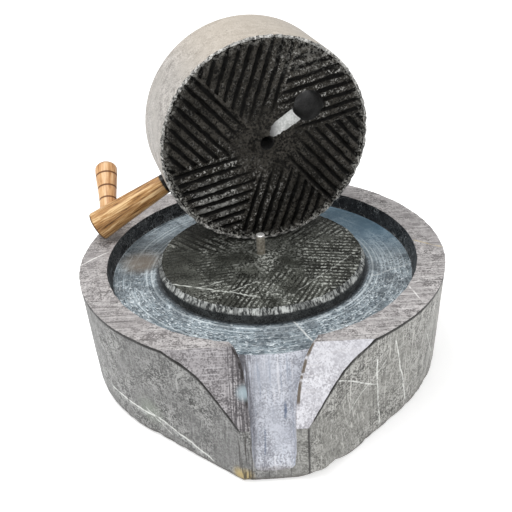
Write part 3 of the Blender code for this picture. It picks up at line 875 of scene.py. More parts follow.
class Finish:
    """One procedural material, built up from short calls that each return a socket."""

    def __init__(self, name):
        self.material = bpy.data.materials.new(name)
        self.material.use_nodes = True
        self.tree = self.material.node_tree
        self.shader = self.tree.nodes["Principled BSDF"]
        self.place = self.node("ShaderNodeTexCoord").outputs["Object"]
        self.tone = None

    def node(self, kind, **settings):
        made = self.tree.nodes.new(kind)
        for name, value in settings.items():
            setattr(made, name, value)
        return made

    def put(self, socket, value):
        if isinstance(value, bpy.types.NodeSocket):
            self.tree.links.new(value, socket)
        elif value is not None:
            socket.default_value = value

    def math(self, operation, *values, clamp=False):
        made = self.node("ShaderNodeMath", operation=operation, use_clamp=clamp)
        for socket, value in zip(made.inputs, values):
            self.put(socket, value)
        return made.outputs[0]

    def vector(self, operation, *values):
        made = self.node("ShaderNodeVectorMath", operation=operation)
        for socket, value in zip(made.inputs, values):
            self.put(socket, value)
        return made.outputs[
            "Value"
        ] if operation in ("DOT_PRODUCT", "LENGTH", "DISTANCE") else made.outputs[0]

    def turned(self, place, turn=(0, 0, 0), stretch=(1, 1, 1), shift=(0, 0, 0)):
        made = self.node("ShaderNodeMapping", vector_type="POINT")
        self.put(made.inputs["Vector"], place)
        made.inputs["Rotation"].default_value = [math.radians(a) for a in turn]
        made.inputs["Scale"].default_value = stretch
        made.inputs["Location"].default_value = shift
        return made.outputs[0]

    def noise(self, size, detail=2.0, rough=0.5, place=None, warp=0.0, shift=0.0):
        """Noise around 0.5 with lumps about size metres across."""
        made = self.node("ShaderNodeTexNoise", noise_dimensions="4D")
        self.put(made.inputs["Vector"], place or self.place)
        made.inputs["W"].default_value = shift
        made.inputs["Scale"].default_value = 1.0 / size
        made.inputs["Detail"].default_value = detail
        made.inputs["Roughness"].default_value = rough
        made.inputs["Distortion"].default_value = warp
        return made.outputs["Fac"]

    def between(self, value, low, high, to_low=0.0, to_high=1.0):
        """Eases from to_low to to_high as value goes from low to high."""
        made = self.node("ShaderNodeMapRange", interpolation_type="SMOOTHSTEP")
        self.put(made.inputs["Value"], value)
        if low > high:
            low, high, to_low, to_high = high, low, to_high, to_low
        made.inputs["From Min"].default_value = low
        made.inputs["From Max"].default_value = high
        made.inputs["To Min"].default_value = to_low
        made.inputs["To Max"].default_value = to_high
        return made.outputs["Result"]

    def mix(self, share, first, second):
        made = self.node("ShaderNodeMix", data_type="RGBA")
        self.put(made.inputs["Factor"], share)
        for socket, value in ((made.inputs[6], first), (made.inputs[7], second)):
            self.put(socket, (*value, 1.0) if isinstance(value, tuple) else value)
        return made.outputs[2]

    def times(self, *values):
        total = values[0]
        for value in values[1:]:
            total = self.math("MULTIPLY", total, value)
        return total

    def off(self, value, middle):
        """How far a value is from a middle value."""
        return self.math("ABSOLUTE", self.math("SUBTRACT", value, middle))

    def streaks(self, size, stretch, low, high, shift, turn=(0, 0, 0), place=None):
        """Noise drawn out along an axis, eased from 0 to 1 between two of its values."""
        drawn = self.turned(place or self.place, turn=turn, stretch=stretch)
        return self.between(self.noise(size, 2.0, 0.6, drawn, shift=shift), low, high)

    def lay(self, colour, *shares):
        """Lays a colour over the tone as strongly as its shares multiplied together."""
        self.tone = self.mix(self.times(*shares), self.tone, colour)

    def axes(self):
        parts = self.node("ShaderNodeSeparateXYZ")
        self.put(parts.inputs[0], self.place)
        return parts.outputs

    def near(self, centre, near, far):
        """1 close to a point, easing to 0 at the far distance."""
        return self.between(self.vector("DISTANCE", self.place, centre), far, near)

    def granite(self, dark, middle, light, speckle=0.0021, cloud=0.03, shift=0.0, calm=0.40):
        """Stone: fine dark and light grains that fade and return in clouds."""
        grains = self.noise(speckle * 0.62, 2.0, 0.6, shift=shift + 1)
        mottle = self.noise(speckle * 4.0, 3.0, 0.65, shift=shift + 2)
        clouds = self.noise(cloud, 3.0, 0.6, shift=shift)
        mixed = self.math("ADD", self.times(grains, 0.62), self.times(mottle, 0.38))
        tone = self.mix(self.between(mixed, 0.41, 0.59), dark, light)
        return self.mix(self.between(clouds, 0.35, 0.65, calm - 0.35, calm + 0.3), tone, middle), grains

    def scratches(self, width, length, turn, low, high, shift=0.0, place=None):
        """Fine straight lines along one direction in the XY plane."""
        stretched = self.turned(place or self.place, turn=(0, 0, -turn), stretch=(width / length, 1, 1))
        return self.between(self.noise(width, 2.0, 0.55, stretched, shift=shift), low, high)

    def polar(self, reach):
        """Coordinates of radius, arc at the given reach and height about Z, and the radius alone."""
        x, y, z = self.axes()
        radius = self.math(
            "SQRT", self.math("ADD", self.math("MULTIPLY", x, x), self.math("MULTIPLY", y, y)))
        angle = self.math("ARCTAN2", x, self.math("MULTIPLY", y, -1.0))
        made = self.node("ShaderNodeCombineXYZ")
        self.put(made.inputs[0], radius)
        self.put(made.inputs[1], self.math("MULTIPLY", angle, reach))
        self.put(made.inputs[2], z)
        return made.outputs[0], radius

    def veins(self, lines, wobble=0.0030):
        """Thin lines such as white veins, stains and a painted shade line: each is where a crack between two
        points, going straight down, meets the skin.
        """
        wander = self.math("SUBTRACT", self.noise(0.022, 4.0, 0.65, shift=7.0), 0.5)
        wander = self.math("MULTIPLY", wander, wobble * 2)
        broken = self.between(self.noise(0.006, 2.0, 0.6, shift=9.0), 0.34, 0.52)
        total = None
        for start, end, down, width, strength in lines:
            start, end = Vector(start), Vector(end)
            run = end - start
            length = run.length
            run.normalize()
            normal = run.cross(Vector(down)).normalized()
            off = self.math(
                "SUBTRACT", self.vector("DOT_PRODUCT", self.place, tuple(normal)), start.dot(normal))
            off = self.math("ABSOLUTE", self.math("ADD", off, wander))
            reach = self.math(
                "SUBTRACT", self.vector("DOT_PRODUCT", self.place, tuple(run)), start.dot(run))
            edge = self.math("ABSOLUTE", self.math("SUBTRACT", reach, length / 2))
            held = self.between(edge, length / 2 + 0.002, length / 2 - 0.003)
            away = self.between(self.math("ABSOLUTE", self.vector(
                "DOT_PRODUCT", self.vector("SUBTRACT", self.place, tuple((start + end) / 2)),
                tuple(run.cross(normal)))), 0.03, 0.018)
            line = self.math("MULTIPLY", self.between(off, width, width * 0.35), held)
            line = self.math("MULTIPLY", self.math("MULTIPLY", line, away), strength)
            total = line if total is None else self.math("MAXIMUM", total, line)
        return self.math("MULTIPLY", total, self.math("ADD", self.math("MULTIPLY", broken, 0.75), 0.2))

    def done(self, roughness, height=None, distance=0.0003, strength=1.0, specular=0.3):
        self.put(self.shader.inputs["Base Color"], self.tone)
        self.put(self.shader.inputs["Roughness"], roughness)
        self.shader.inputs["Specular IOR Level"].default_value = specular
        if height is not None:
            bump = self.node("ShaderNodeBump")
            bump.inputs["Distance"].default_value = distance
            bump.inputs["Strength"].default_value = strength
            self.put(bump.inputs["Height"], height)
            self.put(self.shader.inputs["Normal"], bump.outputs[0])
        return self.material


def below_shoulder(finish):
    """Distance below the sloping plane of the spout's shoulders, 0 on it."""
    run = NOSE_REACH - SHOULDER_START
    fall = RIM_HEIGHT - SHOULDER_END_HEIGHT
    normal = Vector((0.0, -fall, run)).normalized()
    start = Vector((0.0, -SHOULDER_START, RIM_HEIGHT))
    return finish.math(
        "SUBTRACT", start.dot(normal), finish.vector("DOT_PRODUCT", finish.place, tuple(normal)))


def tone_of(finish):
    return finish.node("ShaderNodeAttribute", attribute_name="tone").outputs["Fac"]


def bed_finish():
    """The bed disc: olive-black furrows, deepened with painted shade, between worn, pale streaked ridges."""
    finish = Finish("bed_face")
    x = finish.axes()[0]
    finish.tone, grains = finish.granite(
        (0.003, 0.003, 0.002), (0.022, 0.023, 0.019), (0.13, 0.135, 0.118), 0.0024)
    ridge = finish.between(tone_of(finish), 0.45, 0.05)
    bruised = finish.between(finish.noise(0.0024, 3.0, 0.7, shift=2.0), 0.49, 0.58)
    bright = finish.between(finish.math("ADD", finish.noise(0.035, 2.0, 0.5, shift=6.0), x), 0.40, 0.62)
    finish.lay((0.46, 0.475, 0.44), ridge, bruised, bright)
    # Painted shade: the furrows are darkened towards black as they deepen.
    finish.lay((0.006, 0.006, 0.005), finish.between(tone_of(finish), 0.35, 0.9, 0.0, 0.75))
    finish.lay((0.62, 0.64, 0.60), finish.veins(BED_VEINS))
    return finish.done(0.5, grains, 0.0006, specular=0.12)


def bed_edge_finish():
    """The chipped edge of the bed disc: pale bruised crystals over a dark smooth band."""
    finish = Finish("bed_edge")
    z = finish.axes()[2]
    finish.tone, grains = finish.granite(
        (0.012, 0.013, 0.014), (0.035, 0.037, 0.037), (0.11, 0.115, 0.115), 0.0018)
    place = finish.polar(BED_RADIUS)[0]
    pleats = finish.turned(place, stretch=(0.35, 1.0, 0.35))
    bruises = finish.between(finish.noise(0.0022, 3.0, 0.7, pleats, shift=3.0), 0.42, 0.58)
    patches = finish.between(finish.noise(0.013, 2.0, 0.6, shift=5.0), 0.36, 0.58, 0.30, 1.0)
    ragged = finish.math("ADD", z, finish.times(finish.noise(0.004, 3.0, 0.7, shift=8.0), 0.0040))
    high = finish.between(ragged, BED_SHOULDER_HEIGHT + 0.0008, BED_SHOULDER_HEIGHT + 0.0030)
    finish.lay((0.62, 0.64, 0.62), bruises, high, patches, 0.95)
    return finish.done(0.5, grains, 0.0004, specular=0.12)


def channel_finish():
    """The meal channel: blue-grey, with rows of short chisel flecks and pale rings round the bed."""
    finish = Finish("channel")
    place, radius = finish.polar(0.125)
    x, y, _ = finish.axes()
    finish.tone, grains = finish.granite(
        (0.045, 0.062, 0.075), (0.17, 0.215, 0.245), (0.42, 0.48, 0.52), 0.0022, shift=2.0)
    rows = finish.streaks(0.0016, (1.0, 0.02, 1.0), 0.54, 0.64, 4.0, place=place)
    finish.lay((0.56, 0.64, 0.69), rows, 0.55)
    flecks = finish.streaks(0.0016, (1.0, 0.4, 1.0), 0.56, 0.63, 5.0, place=place)
    front = finish.between(y, 0.03, -0.05, 0.15, 1.0)
    pocks = finish.streaks(0.0018, (1.0, 0.5, 1.0), 0.55, 0.62, 35.0, place=place)
    finish.lay((0.030, 0.042, 0.055), pocks, front, 0.75)
    finish.lay((0.80, 0.86, 0.89), flecks, front, 0.85)
    for at, half, share in (
        (RING_RADIUS, 0.0013, 0.8), (RING_RADIUS + 0.0050, 0.0008, 0.55), (0.1265, 0.0009, 0.45)
    ):
        off = finish.off(radius, at)
        worn = finish.between(finish.noise(0.012, 2.0, 0.6, shift=at * 100), 0.30, 0.55)
        finish.lay((0.66, 0.73, 0.76), finish.between(off, half, half * 0.4), worn, share)
    for turn, shift in ((25, 26.0), (-48, 27.0), (80, 28.0)):
        thin = finish.scratches(0.0010, 0.06, turn, 0.62, 0.68, shift)
        finish.lay((0.66, 0.72, 0.75), thin, 0.45)
    blotch = finish.between(finish.noise(0.020, 3.0, 0.6, shift=29.0), 0.48, 0.62, 0.0, 0.55)
    finish.lay((0.055, 0.068, 0.080), blotch)
    blue = finish.times(finish.between(x, 0.02, 0.09), finish.between(y, 0.0, 0.07), 0.6)
    finish.lay((0.16, 0.30, 0.42), blue)
    finish.lay((0.20, 0.15, 0.10), finish.near((-0.118, 0.022, 0.088), 0.008, 0.030), 0.6)
    shade = finish.between(radius, 0.100, 0.1035, 0.8, 0.0)
    finish.lay((0.012, 0.013, 0.015), shade)
    finish.lay((0.75, 0.77, 0.76), finish.veins(CHANNEL_VEINS))
    return finish.done(0.42, grains, 0.0004)


def chute_edge(side):
    """The line where a shoulder breaks into the chute, drawn with the vein mask from station to station."""
    points = []
    for y, centre, half_floor, half_top in CHUTE_STATIONS[2:6]:
        slope = (RIM_HEIGHT - SHOULDER_END_HEIGHT) / (NOSE_REACH - SHOULDER_START)
        height = RIM_HEIGHT - slope * max(0.0, -SHOULDER_START - y)
        reach = half_floor + 0.75 * (half_top - half_floor) + 0.0008
        points.append((centre + side * reach, y, height))
    return [(a, b, (0, 0, -1), 0.0019, 0.95) for a, b in zip(points, points[1:])]


def wall_finish():
    """The channel's outer wall: near black, with a few thin pale threads."""
    finish = Finish("inner_wall")
    finish.tone, grains = finish.granite(
        (0.006, 0.007, 0.008), (0.022, 0.024, 0.027), (0.09, 0.095, 0.10), 0.0024, shift=5.0)
    threads = finish.between(
        finish.off(finish.noise(0.02, 3.0, 0.6), 0.5), 0.006,
        0.002)
    finish.lay((0.40, 0.42, 0.43), threads, 0.5)
    return finish.done(0.45, grains, 0.0004, specular=0.15)


def rim_finish():
    """The rim: sawn flat, mauve-grey, with crossing fine scratches and white veins."""
    finish = Finish("rim")
    x = finish.axes()[0]
    finish.tone, grains = finish.granite(
        (0.09, 0.082, 0.082), (0.31, 0.29, 0.29), (0.56, 0.535, 0.53), 0.0023, shift=8.0)
    right = finish.between(x, -0.02, 0.06)
    fine = finish.scratches(0.0011, 0.05, 62, 0.55, 0.65, 2.0)
    other = finish.scratches(0.0012, 0.05, 15, 0.57, 0.66, 3.0)
    dark = finish.scratches(0.0012, 0.04, 40, 0.58, 0.68, 4.0)
    finish.lay((0.72, 0.70, 0.69), finish.math("MAXIMUM", finish.times(fine, right), other), 0.6)
    finish.lay((0.07, 0.065, 0.062), dark, 0.7)
    finish.lay((0.82, 0.81, 0.79), finish.veins(RIM_VEINS))
    finish.lay((0.55, 0.45, 0.27), finish.veins(RIM_RUST))
    return finish.done(0.45, grains, 0.0003)


def shoulder_finish():
    """The spout's sloping shoulders: dark mauve on the left, worn pale on the right."""
    finish = Finish("shoulder")
    x = finish.axes()[0]
    finish.tone, grains = finish.granite(
        (0.08, 0.074, 0.077), (0.25, 0.235, 0.243), (0.46, 0.44, 0.45), 0.0022, shift=11.0)
    pale, _ = finish.granite(
        (0.34, 0.33, 0.36), (0.56, 0.56, 0.60), (0.74, 0.74, 0.78), 0.0024, shift=12.0)
    finish.lay(pale, finish.between(x, -0.01, 0.02))
    scored = finish.scratches(0.0012, 0.05, 75, 0.58, 0.68, 6.0)
    finish.lay((0.60, 0.58, 0.60), scored, 0.5)
    # Painted shade: dark crease lines on the inner strip of the left shoulder, beside the chute.
    creases = finish.streaks(0.0017, (1.0, 0.04, 0.04), 0.43, 0.55, 24.0, turn=(0, 0, -22))
    inner = finish.times(finish.between(x, -0.038, -0.031), finish.between(x, 0.0, -0.01), 0.8)
    finish.lay((0.05, 0.045, 0.05), creases, inner)
    # Painted shade: a near-black line where the left shoulder breaks into the chute; the brown line on the
    # right is the stone's colour.
    finish.lay((0.015, 0.012, 0.011), finish.veins(chute_edge(-1), wobble=0.0012))
    finish.lay((0.085, 0.060, 0.032), finish.veins(chute_edge(1), wobble=0.0012))
    # Painted sheen: a pale blue patch where a small flat facet of the left shoulder catches the light.
    painted_facet_sheen = finish.times(finish.near((-0.0215, -0.176, 0.077), 0.002, 0.009), 0.6)
    finish.lay((0.48, 0.60, 0.66), painted_facet_sheen)
    return finish.done(0.42, grains, 0.0003)


def chute_finish():
    """The chute: lavender-grey with streaks down the flow and painted shade in the creases of its left wall.
    """
    finish = Finish("chute")
    x, y, z = finish.axes()
    finish.tone, grains = finish.granite(
        (0.25, 0.255, 0.29), (0.50, 0.52, 0.58), (0.68, 0.70, 0.76), 0.0024, shift=21.0)
    flow = finish.turned(finish.place, stretch=(1.0, 0.05, 0.05))
    streaks = finish.noise(0.0022, 3.0, 0.65, flow, shift=22.0)
    finish.lay((0.26, 0.31, 0.40), finish.between(streaks, 0.55, 0.70, 0.0, 0.6))
    finish.lay((0.80, 0.80, 0.84), finish.between(streaks, 0.44, 0.32, 0.0, 0.55))
    # Painted shade: dark crease lines over the chute's left wall.
    left = finish.between(x, -0.010, -0.020)
    creases = finish.noise(0.0016, 2.0, 0.6, flow, shift=23.0)
    finish.lay((0.055, 0.05, 0.055), left, finish.between(creases, 0.40, 0.56), 0.8)
    finish.lay((0.34, 0.25, 0.13), finish.veins(CHUTE_RUST, wobble=0.0016))
    # A strip under the shoulders' arris: near black on the left as painted shade, brown on the right as the
    # stone's colour.
    ragged = finish.math(
        "ADD", below_shoulder(finish), finish.times(finish.math("SUBTRACT", streaks, 0.5), 0.012))
    arris = finish.times(finish.between(ragged, 0.0042, 0.0022), finish.between(y, -0.148, -0.153))
    finish.lay((0.016, 0.013, 0.012), arris, finish.between(x, 0.010, -0.005), 0.95)
    finish.lay((0.10, 0.065, 0.030), arris, finish.between(x, 0.0, 0.012), 0.85)
    finish.lay((0.10, 0.14, 0.22), finish.veins(CHUTE_STREAKS, wobble=0.0012))
    finish.lay((0.10, 0.07, 0.045), finish.between(z, 0.016, 0.0115, 0.0, 0.5))
    return finish.done(0.38, grains, 0.0003)


def side_finish():
    """The basin's outside: speckled grey, upright scratches on the right, white veins, dark arrises."""
    finish = Finish("side")
    x, y, z = finish.axes()
    left, grains = finish.granite(
        (0.035, 0.035, 0.034), (0.17, 0.17, 0.168), (0.38, 0.38, 0.37), 0.0024, shift=14.0)
    right, _ = finish.granite(
        (0.055, 0.053, 0.048), (0.23, 0.228, 0.21), (0.47, 0.465, 0.44), 0.0025, shift=16.0)
    finish.tone = finish.mix(finish.between(x, -0.02, 0.04), left, right)
    upright = finish.turned(finish.place, turn=(0, 4, 0), stretch=(1, 1, 0.04))
    lines = finish.noise(0.0015, 2.0, 0.6, upright, shift=17.0)
    finish.lay((0.62, 0.61, 0.58), finish.between(lines, 0.57, 0.68), finish.between(x, 0.0, 0.06), 0.6)
    finish.lay((0.05, 0.048, 0.045), finish.between(lines, 0.42, 0.32, 0.0, 0.6))
    fine = finish.streaks(0.0012, (1, 1, 0.03), 0.61, 0.68, 18.0, turn=(0, 40, 0))
    finish.lay((0.50, 0.50, 0.49), fine, 0.45)
    finish.lay((0.24, 0.29, 0.22), finish.near((-0.104, -0.132, 0.028), 0.004, 0.020), 0.35)
    finish.lay((0.50, 0.38, 0.15), finish.near((-0.026, -0.193, 0.006), 0.003, 0.012), 0.8)
    patchy = finish.between(finish.noise(0.004, 3.0, 0.7, shift=37.0), 0.42, 0.56)
    finish.lay((0.60, 0.62, 0.60), finish.veins(BROAD_VEINS, wobble=0.008), patchy)
    finish.lay((0.78, 0.79, 0.76), finish.veins(SIDE_VEINS))
    # Painted shade: dark crease lines on the nose's front, left of the chute.
    corner = finish.between(
        finish.math("ABSOLUTE", finish.math("ADD", x, NOSE_HALF_WIDTH - 0.004)), 0.0065, 0.0040)
    corner = finish.times(corner, finish.between(y, -0.178, -0.188), finish.between(z, 0.056, 0.050))
    creased = finish.streaks(0.0014, (1, 1, 0.04), 0.46, 0.55, 38.0, turn=(0, -3, 0))
    finish.lay((0.03, 0.025, 0.022), corner, creased, 0.85)
    arris = finish.between(below_shoulder(finish), 0.0036, 0.0018)
    arris = finish.times(
        arris,
        finish.between(
            finish.math("ADD", y, finish.math("MULTIPLY", x, -0.05)), -0.1935, -0.1915, 0.2, 1.0)
    )
    arris = finish.math("MAXIMUM", arris, finish.between(z, RIM_HEIGHT - 0.0040, RIM_HEIGHT - 0.0022))
    held = finish.between(finish.noise(0.012, 2.0, 0.5, shift=19.0), 0.28, 0.42, 0.6, 1.0)
    finish.lay((0.008, 0.007, 0.006), arris, held)
    nose = finish.between(
        finish.off(x, NOSE_HALF_WIDTH + 0.001), 0.0012, 0.0005)
    nose = finish.times(nose, finish.between(y, -0.175, -0.185), finish.between(z, 0.056, 0.050), 0.8)
    finish.lay((0.015, 0.013, 0.012), nose)
    finish.lay((0.04, 0.032, 0.024), finish.between(z, 0.007, 0.0, 0.0, 0.7))
    return finish.done(0.5, grains, 0.0003)


def face_finish():
    """The grinding face: furrows painted near black as shade, between charcoal ridges with bruised pale
    crystals.
    """
    finish = Finish("grinding_face")
    x, y, _ = finish.axes()
    finish.tone, grains = finish.granite(
        (0.0025, 0.0023, 0.002), (0.012, 0.011, 0.009), (0.060, 0.055, 0.047), 0.0030, shift=30.0)
    ridge = finish.between(tone_of(finish), 0.35, 0.05)
    bruised = finish.between(finish.noise(0.0021, 3.0, 0.75, shift=31.0), 0.53, 0.60)
    mottle = finish.noise(0.007, 3.0, 0.7, shift=36.0)
    cluster = finish.between(finish.noise(0.014, 2.0, 0.6, shift=34.0), 0.42, 0.60, 0.25, 1.0)
    low_left = finish.between(
        finish.vector("DISTANCE", finish.place, (-0.040, 0.045, 0.0)), 0.065, 0.015)
    high_right = finish.between(
        finish.vector("DISTANCE", finish.place, (0.045, -0.055, 0.0)), 0.055, 0.015)
    bright = finish.math("MAXIMUM", low_left, finish.times(high_right, 0.6))
    bright = finish.math("ADD", finish.times(bright, 0.90), 0.10)
    hub = finish.between(finish.vector("LENGTH", finish.place), 0.016, 0.045, 0.15, 1.0)
    finish.lay((0.66, 0.65, 0.62), ridge, bruised, cluster, bright, hub)
    smear = finish.near((-0.052, 0.050, 0.0), 0.006, 0.030)
    finish.lay((0.42, 0.42, 0.40), smear, ridge, finish.between(mottle, 0.42, 0.60), 0.55)
    # Painted shade: the furrows, frayed at their edges by the grains, are laid near black.
    frayed = finish.math(
        "ADD", tone_of(finish), finish.times(finish.math("SUBTRACT", grains, 0.5), 0.9))
    finish.lay((0.0008, 0.0007, 0.0006), finish.between(frayed, 0.26, 0.42, 0.0, 0.97))
    rim = finish.between(finish.vector("LENGTH", finish.place), 0.090, 0.098)
    rim = finish.math(
        "MAXIMUM", rim,
        finish.times(finish.between(y, -0.055, -0.075), finish.between(x, 0.0, 0.03), 0.55))
    frayed = finish.between(finish.noise(0.0028, 3.0, 0.7, shift=33.0), 0.48, 0.60)
    low = finish.between(y, -0.02, 0.06, 0.35, 0.9)
    finish.lay((0.55, 0.54, 0.50), rim, frayed, low)
    return finish.done(0.5, grains, 0.0008, specular=0.08)


def face_edge_finish():
    """The notched edge of the grinding face: pale frayed crystals."""
    finish = Finish("face_edge")
    finish.tone, grains = finish.granite(
        (0.012, 0.012, 0.011), (0.20, 0.20, 0.19), (0.72, 0.71, 0.68), 0.0026, shift=3.0, calm=0.35)
    # Painted shade: the notches where the furrows reach the edge are darkened.
    finish.lay((0.01, 0.01, 0.009), finish.between(tone_of(finish), 0.3, 0.8, 0.0, 0.85))
    return finish.done(0.55, grains, 0.0005, specular=0.15)


def runner_side_finish():
    """The runner's side: smooth pale stone, warmer on top, with fine dark specks."""
    finish = Finish("runner_side")
    y = finish.axes()[1]
    finish.tone, grains = finish.granite(
        (0.20, 0.185, 0.17), (0.42, 0.395, 0.365), (0.56, 0.53, 0.50), 0.0022, shift=6.0, calm=0.45)
    finish.lay((0.50, 0.43, 0.34), finish.between(y, -0.06, -0.10, 0.0, 0.5))
    pits = finish.between(finish.noise(0.0022, 3.0, 0.7, shift=8.0), 0.40, 0.31)
    finish.lay((0.12, 0.11, 0.10), pits, 0.6)
    return finish.done(0.5, grains, 0.0002)


def bore_finish():
    finish = Finish("bored_wall")
    finish.tone, grains = finish.granite(
        (0.012, 0.012, 0.012), (0.035, 0.035, 0.034), (0.07, 0.07, 0.07), 0.002, shift=1.5)
    return finish.done(0.4, grains, 0.0002)


def slot_finish():
    """The feed slot: worn bright beside the feed hole, darker towards the spindle."""
    finish = Finish("feed_slot")
    x = finish.axes()[0]
    finish.tone, grains = finish.granite(
        (0.42, 0.43, 0.42), (0.60, 0.61, 0.60), (0.74, 0.75, 0.74), 0.003, shift=2.5)
    finish.lay((0.10, 0.10, 0.10), finish.between(x, 0.016, 0.003))
    return finish.done(0.4, grains, 0.0002)


def wood(name, dark, middle, light, shift):
    finish = Finish(name)
    grain = finish.turned(finish.place, stretch=(1, 1, 0.05))
    streaks = finish.noise(0.0026, 4.0, 0.65, grain, warp=0.3, shift=shift)
    finish.tone = finish.mix(finish.between(streaks, 0.36, 0.50), dark, middle)
    finish.lay(light, finish.between(streaks, 0.50, 0.62))
    return finish, streaks


def arm_finish():
    finish, streaks = wood(
        "arm_wood", (0.08, 0.032, 0.010), (0.44, 0.23, 0.085), (0.78, 0.54, 0.28), 1.0)
    z = finish.axes()[2]
    # Painted shadow: near black where the arm enters the socket, as shade in the gap round it.
    finish.lay((0.006, 0.004, 0.003), finish.between(z, 0.0045, 0.0025))
    finish.lay((0.06, 0.03, 0.015), finish.between(z, ARM_REACH - 0.0022, ARM_REACH - 0.0012, 0.0, 0.8))
    return finish.done(0.3, streaks, 0.0004)


def end_grain_finish():
    finish, streaks = wood(
        "end_grain", (0.07, 0.035, 0.015), (0.20, 0.11, 0.055), (0.32, 0.2, 0.1), 2.0)
    return finish.done(0.55, streaks, 0.0002)


def grip_finish():
    finish, streaks = wood(
        "grip_wood", (0.40, 0.19, 0.075), (0.64, 0.37, 0.175), (0.78, 0.52, 0.29), 3.0)
    z = finish.axes()[2]
    for line in GRIP_LINES:
        off = finish.off(z, line)
        finish.lay((0.16, 0.065, 0.025), finish.between(off, 0.0014, 0.0007, 0.0, 0.9))
    finish.lay(
        (0.24, 0.17, 0.12), finish.between(z, GRIP_LENGTH - 0.009, GRIP_LENGTH - 0.002, 0.0, 0.7))
    return finish.done(0.38, streaks, 0.0003)


def pin_finish():
    finish = Finish("pin_steel")
    z = finish.axes()[2]
    grime = finish.noise(0.003, 3.0, 0.6, shift=5.0)
    finish.tone = finish.mix(finish.between(grime, 0.35, 0.65), (0.26, 0.235, 0.19), (0.60, 0.56, 0.48))
    # Painted highlight: the pin's rounded top is laid near white.
    top = finish.between(z, BED_HEIGHT + PIN_RISE - 0.0026, BED_HEIGHT + PIN_RISE - 0.0012)
    finish.lay((0.95, 0.94, 0.92), top)
    finish.shader.inputs["Metallic"].default_value = 0.6
    return finish.done(finish.between(top, 0, 1, 0.4, 0.22), grime, 0.0001)


def round_basin(angle, radius, height):
    """A place by its angle from the spout in degrees, + to the right, and its radius."""
    turn = math.radians(angle)
    return (radius * math.sin(turn), -radius * math.cos(turn), height)


# Veins and stains: start, end, direction into the stone, half width, strength
DOWN = (0, 0, -1)
BED_VEINS = (
    ((-0.084, -0.047, BED_HEIGHT), (-0.006, -0.077, BED_HEIGHT), DOWN, 0.0010, 0.9),
    ((-0.060, -0.058, BED_HEIGHT), (-0.037, -0.048, BED_HEIGHT), DOWN, 0.0007, 0.7),
    ((-0.030, -0.068, BED_HEIGHT), (-0.005, -0.050, BED_HEIGHT), DOWN, 0.0007, 0.7),
    ((0.030, -0.070, BED_HEIGHT), (0.085, -0.012, BED_HEIGHT), DOWN, 0.0006, 0.5),
)
CHANNEL_VEINS = (
    ((0.024, -0.098, FLOOR_HEIGHT), (0.043, -0.138, FLOOR_HEIGHT), DOWN, 0.0010, 0.8),
    ((0.100, -0.030, FLOOR_HEIGHT), (0.140, -0.010, FLOOR_HEIGHT), DOWN, 0.0008, 0.6),
)
RIM_VEINS = (
    (round_basin(-88, 0.172, RIM_HEIGHT), round_basin(-97, 0.149, RIM_HEIGHT), DOWN, 0.0010, 0.9),
    (round_basin(-64, 0.172, RIM_HEIGHT), round_basin(-58, 0.147, RIM_HEIGHT), DOWN, 0.0007, 0.6),
    (round_basin(52, 0.172, RIM_HEIGHT), round_basin(60, 0.147, RIM_HEIGHT), DOWN, 0.0009, 0.8),
    (round_basin(70, 0.172, RIM_HEIGHT), round_basin(62, 0.147, RIM_HEIGHT), DOWN, 0.0007, 0.7),
)
RIM_RUST = (
    (round_basin(93, 0.147, RIM_HEIGHT), round_basin(87, 0.171, RIM_HEIGHT), DOWN, 0.0013, 0.8),
)
INTO_RIGHT = (1, 0, 0)
# Darker blue-grey streaks down the chute floor.
CHUTE_STREAKS = (
    ((0.0115, -0.164, 0.0555), (0.0105, -0.172, 0.0440), DOWN, 0.0019, 0.9),
    ((-0.0060, -0.176, 0.0385), (-0.0070, -0.188, 0.0215), DOWN, 0.0012, 0.6),
)
CHUTE_RUST = (
    ((0.0385, -0.148, 0.098), (0.024, -0.170, 0.080), INTO_RIGHT, 0.0016, 0.9),
    ((0.0240, -0.170, 0.080), (0.019, -0.186, 0.060), INTO_RIGHT, 0.0014, 0.8),
)
BROAD_VEINS = (
    (
        round_basin(-58, 0.168, 0.022), round_basin(-36, 0.168, 0.023), round_basin(-46, -1, 0), 0.0040,
        0.55
    ),
    (
        round_basin(-40, 0.170, 0.025), round_basin(-17, 0.182, 0.006), round_basin(-28, -1, 0), 0.0036,
        0.5
    ),
)
SIDE_VEINS = (
    (
        round_basin(-58, 0.168, 0.024), round_basin(-35, 0.168, 0.024), round_basin(-46, -1, 0), 0.0012,
        0.9
    ),
    (
        round_basin(-38, 0.170, 0.026), round_basin(-16, 0.182, 0.006), round_basin(-26, -1, 0), 0.0012,
        0.85
    ),
    (
        round_basin(-40, 0.170, 0.030), round_basin(-31, 0.172, 0.010), round_basin(-35, -1, 0), 0.0009,
        0.7
    ),
    (round_basin(31, 0.172, 0.085), round_basin(33, 0.170, 0.008), round_basin(32, -1, 0), 0.0010, 0.8),
    (round_basin(38, 0.172, 0.090), round_basin(46, 0.167, 0.010), round_basin(42, -1, 0), 0.0010, 0.8),
    (round_basin(17, 0.178, 0.079), round_basin(31, 0.171, 0.054), round_basin(24, -1, 0), 0.0009, 0.8),
    (round_basin(55, 0.172, 0.070), round_basin(64, 0.170, 0.030), round_basin(60, -1, 0), 0.0008, 0.6),
    (round_basin(22, 0.176, 0.040), round_basin(35, 0.172, 0.075), round_basin(28, -1, 0), 0.0007, 0.6),
    (
        round_basin(150, 0.170, 0.080), round_basin(172, 0.170, 0.030), round_basin(161, -1, 0), 0.0010,
        0.7
    ),
    (
        round_basin(-140, 0.170, 0.040), round_basin(-116, 0.170, 0.085), round_basin(-128, -1, 0),
        0.0009, 0.6
    ),
)


# The studio

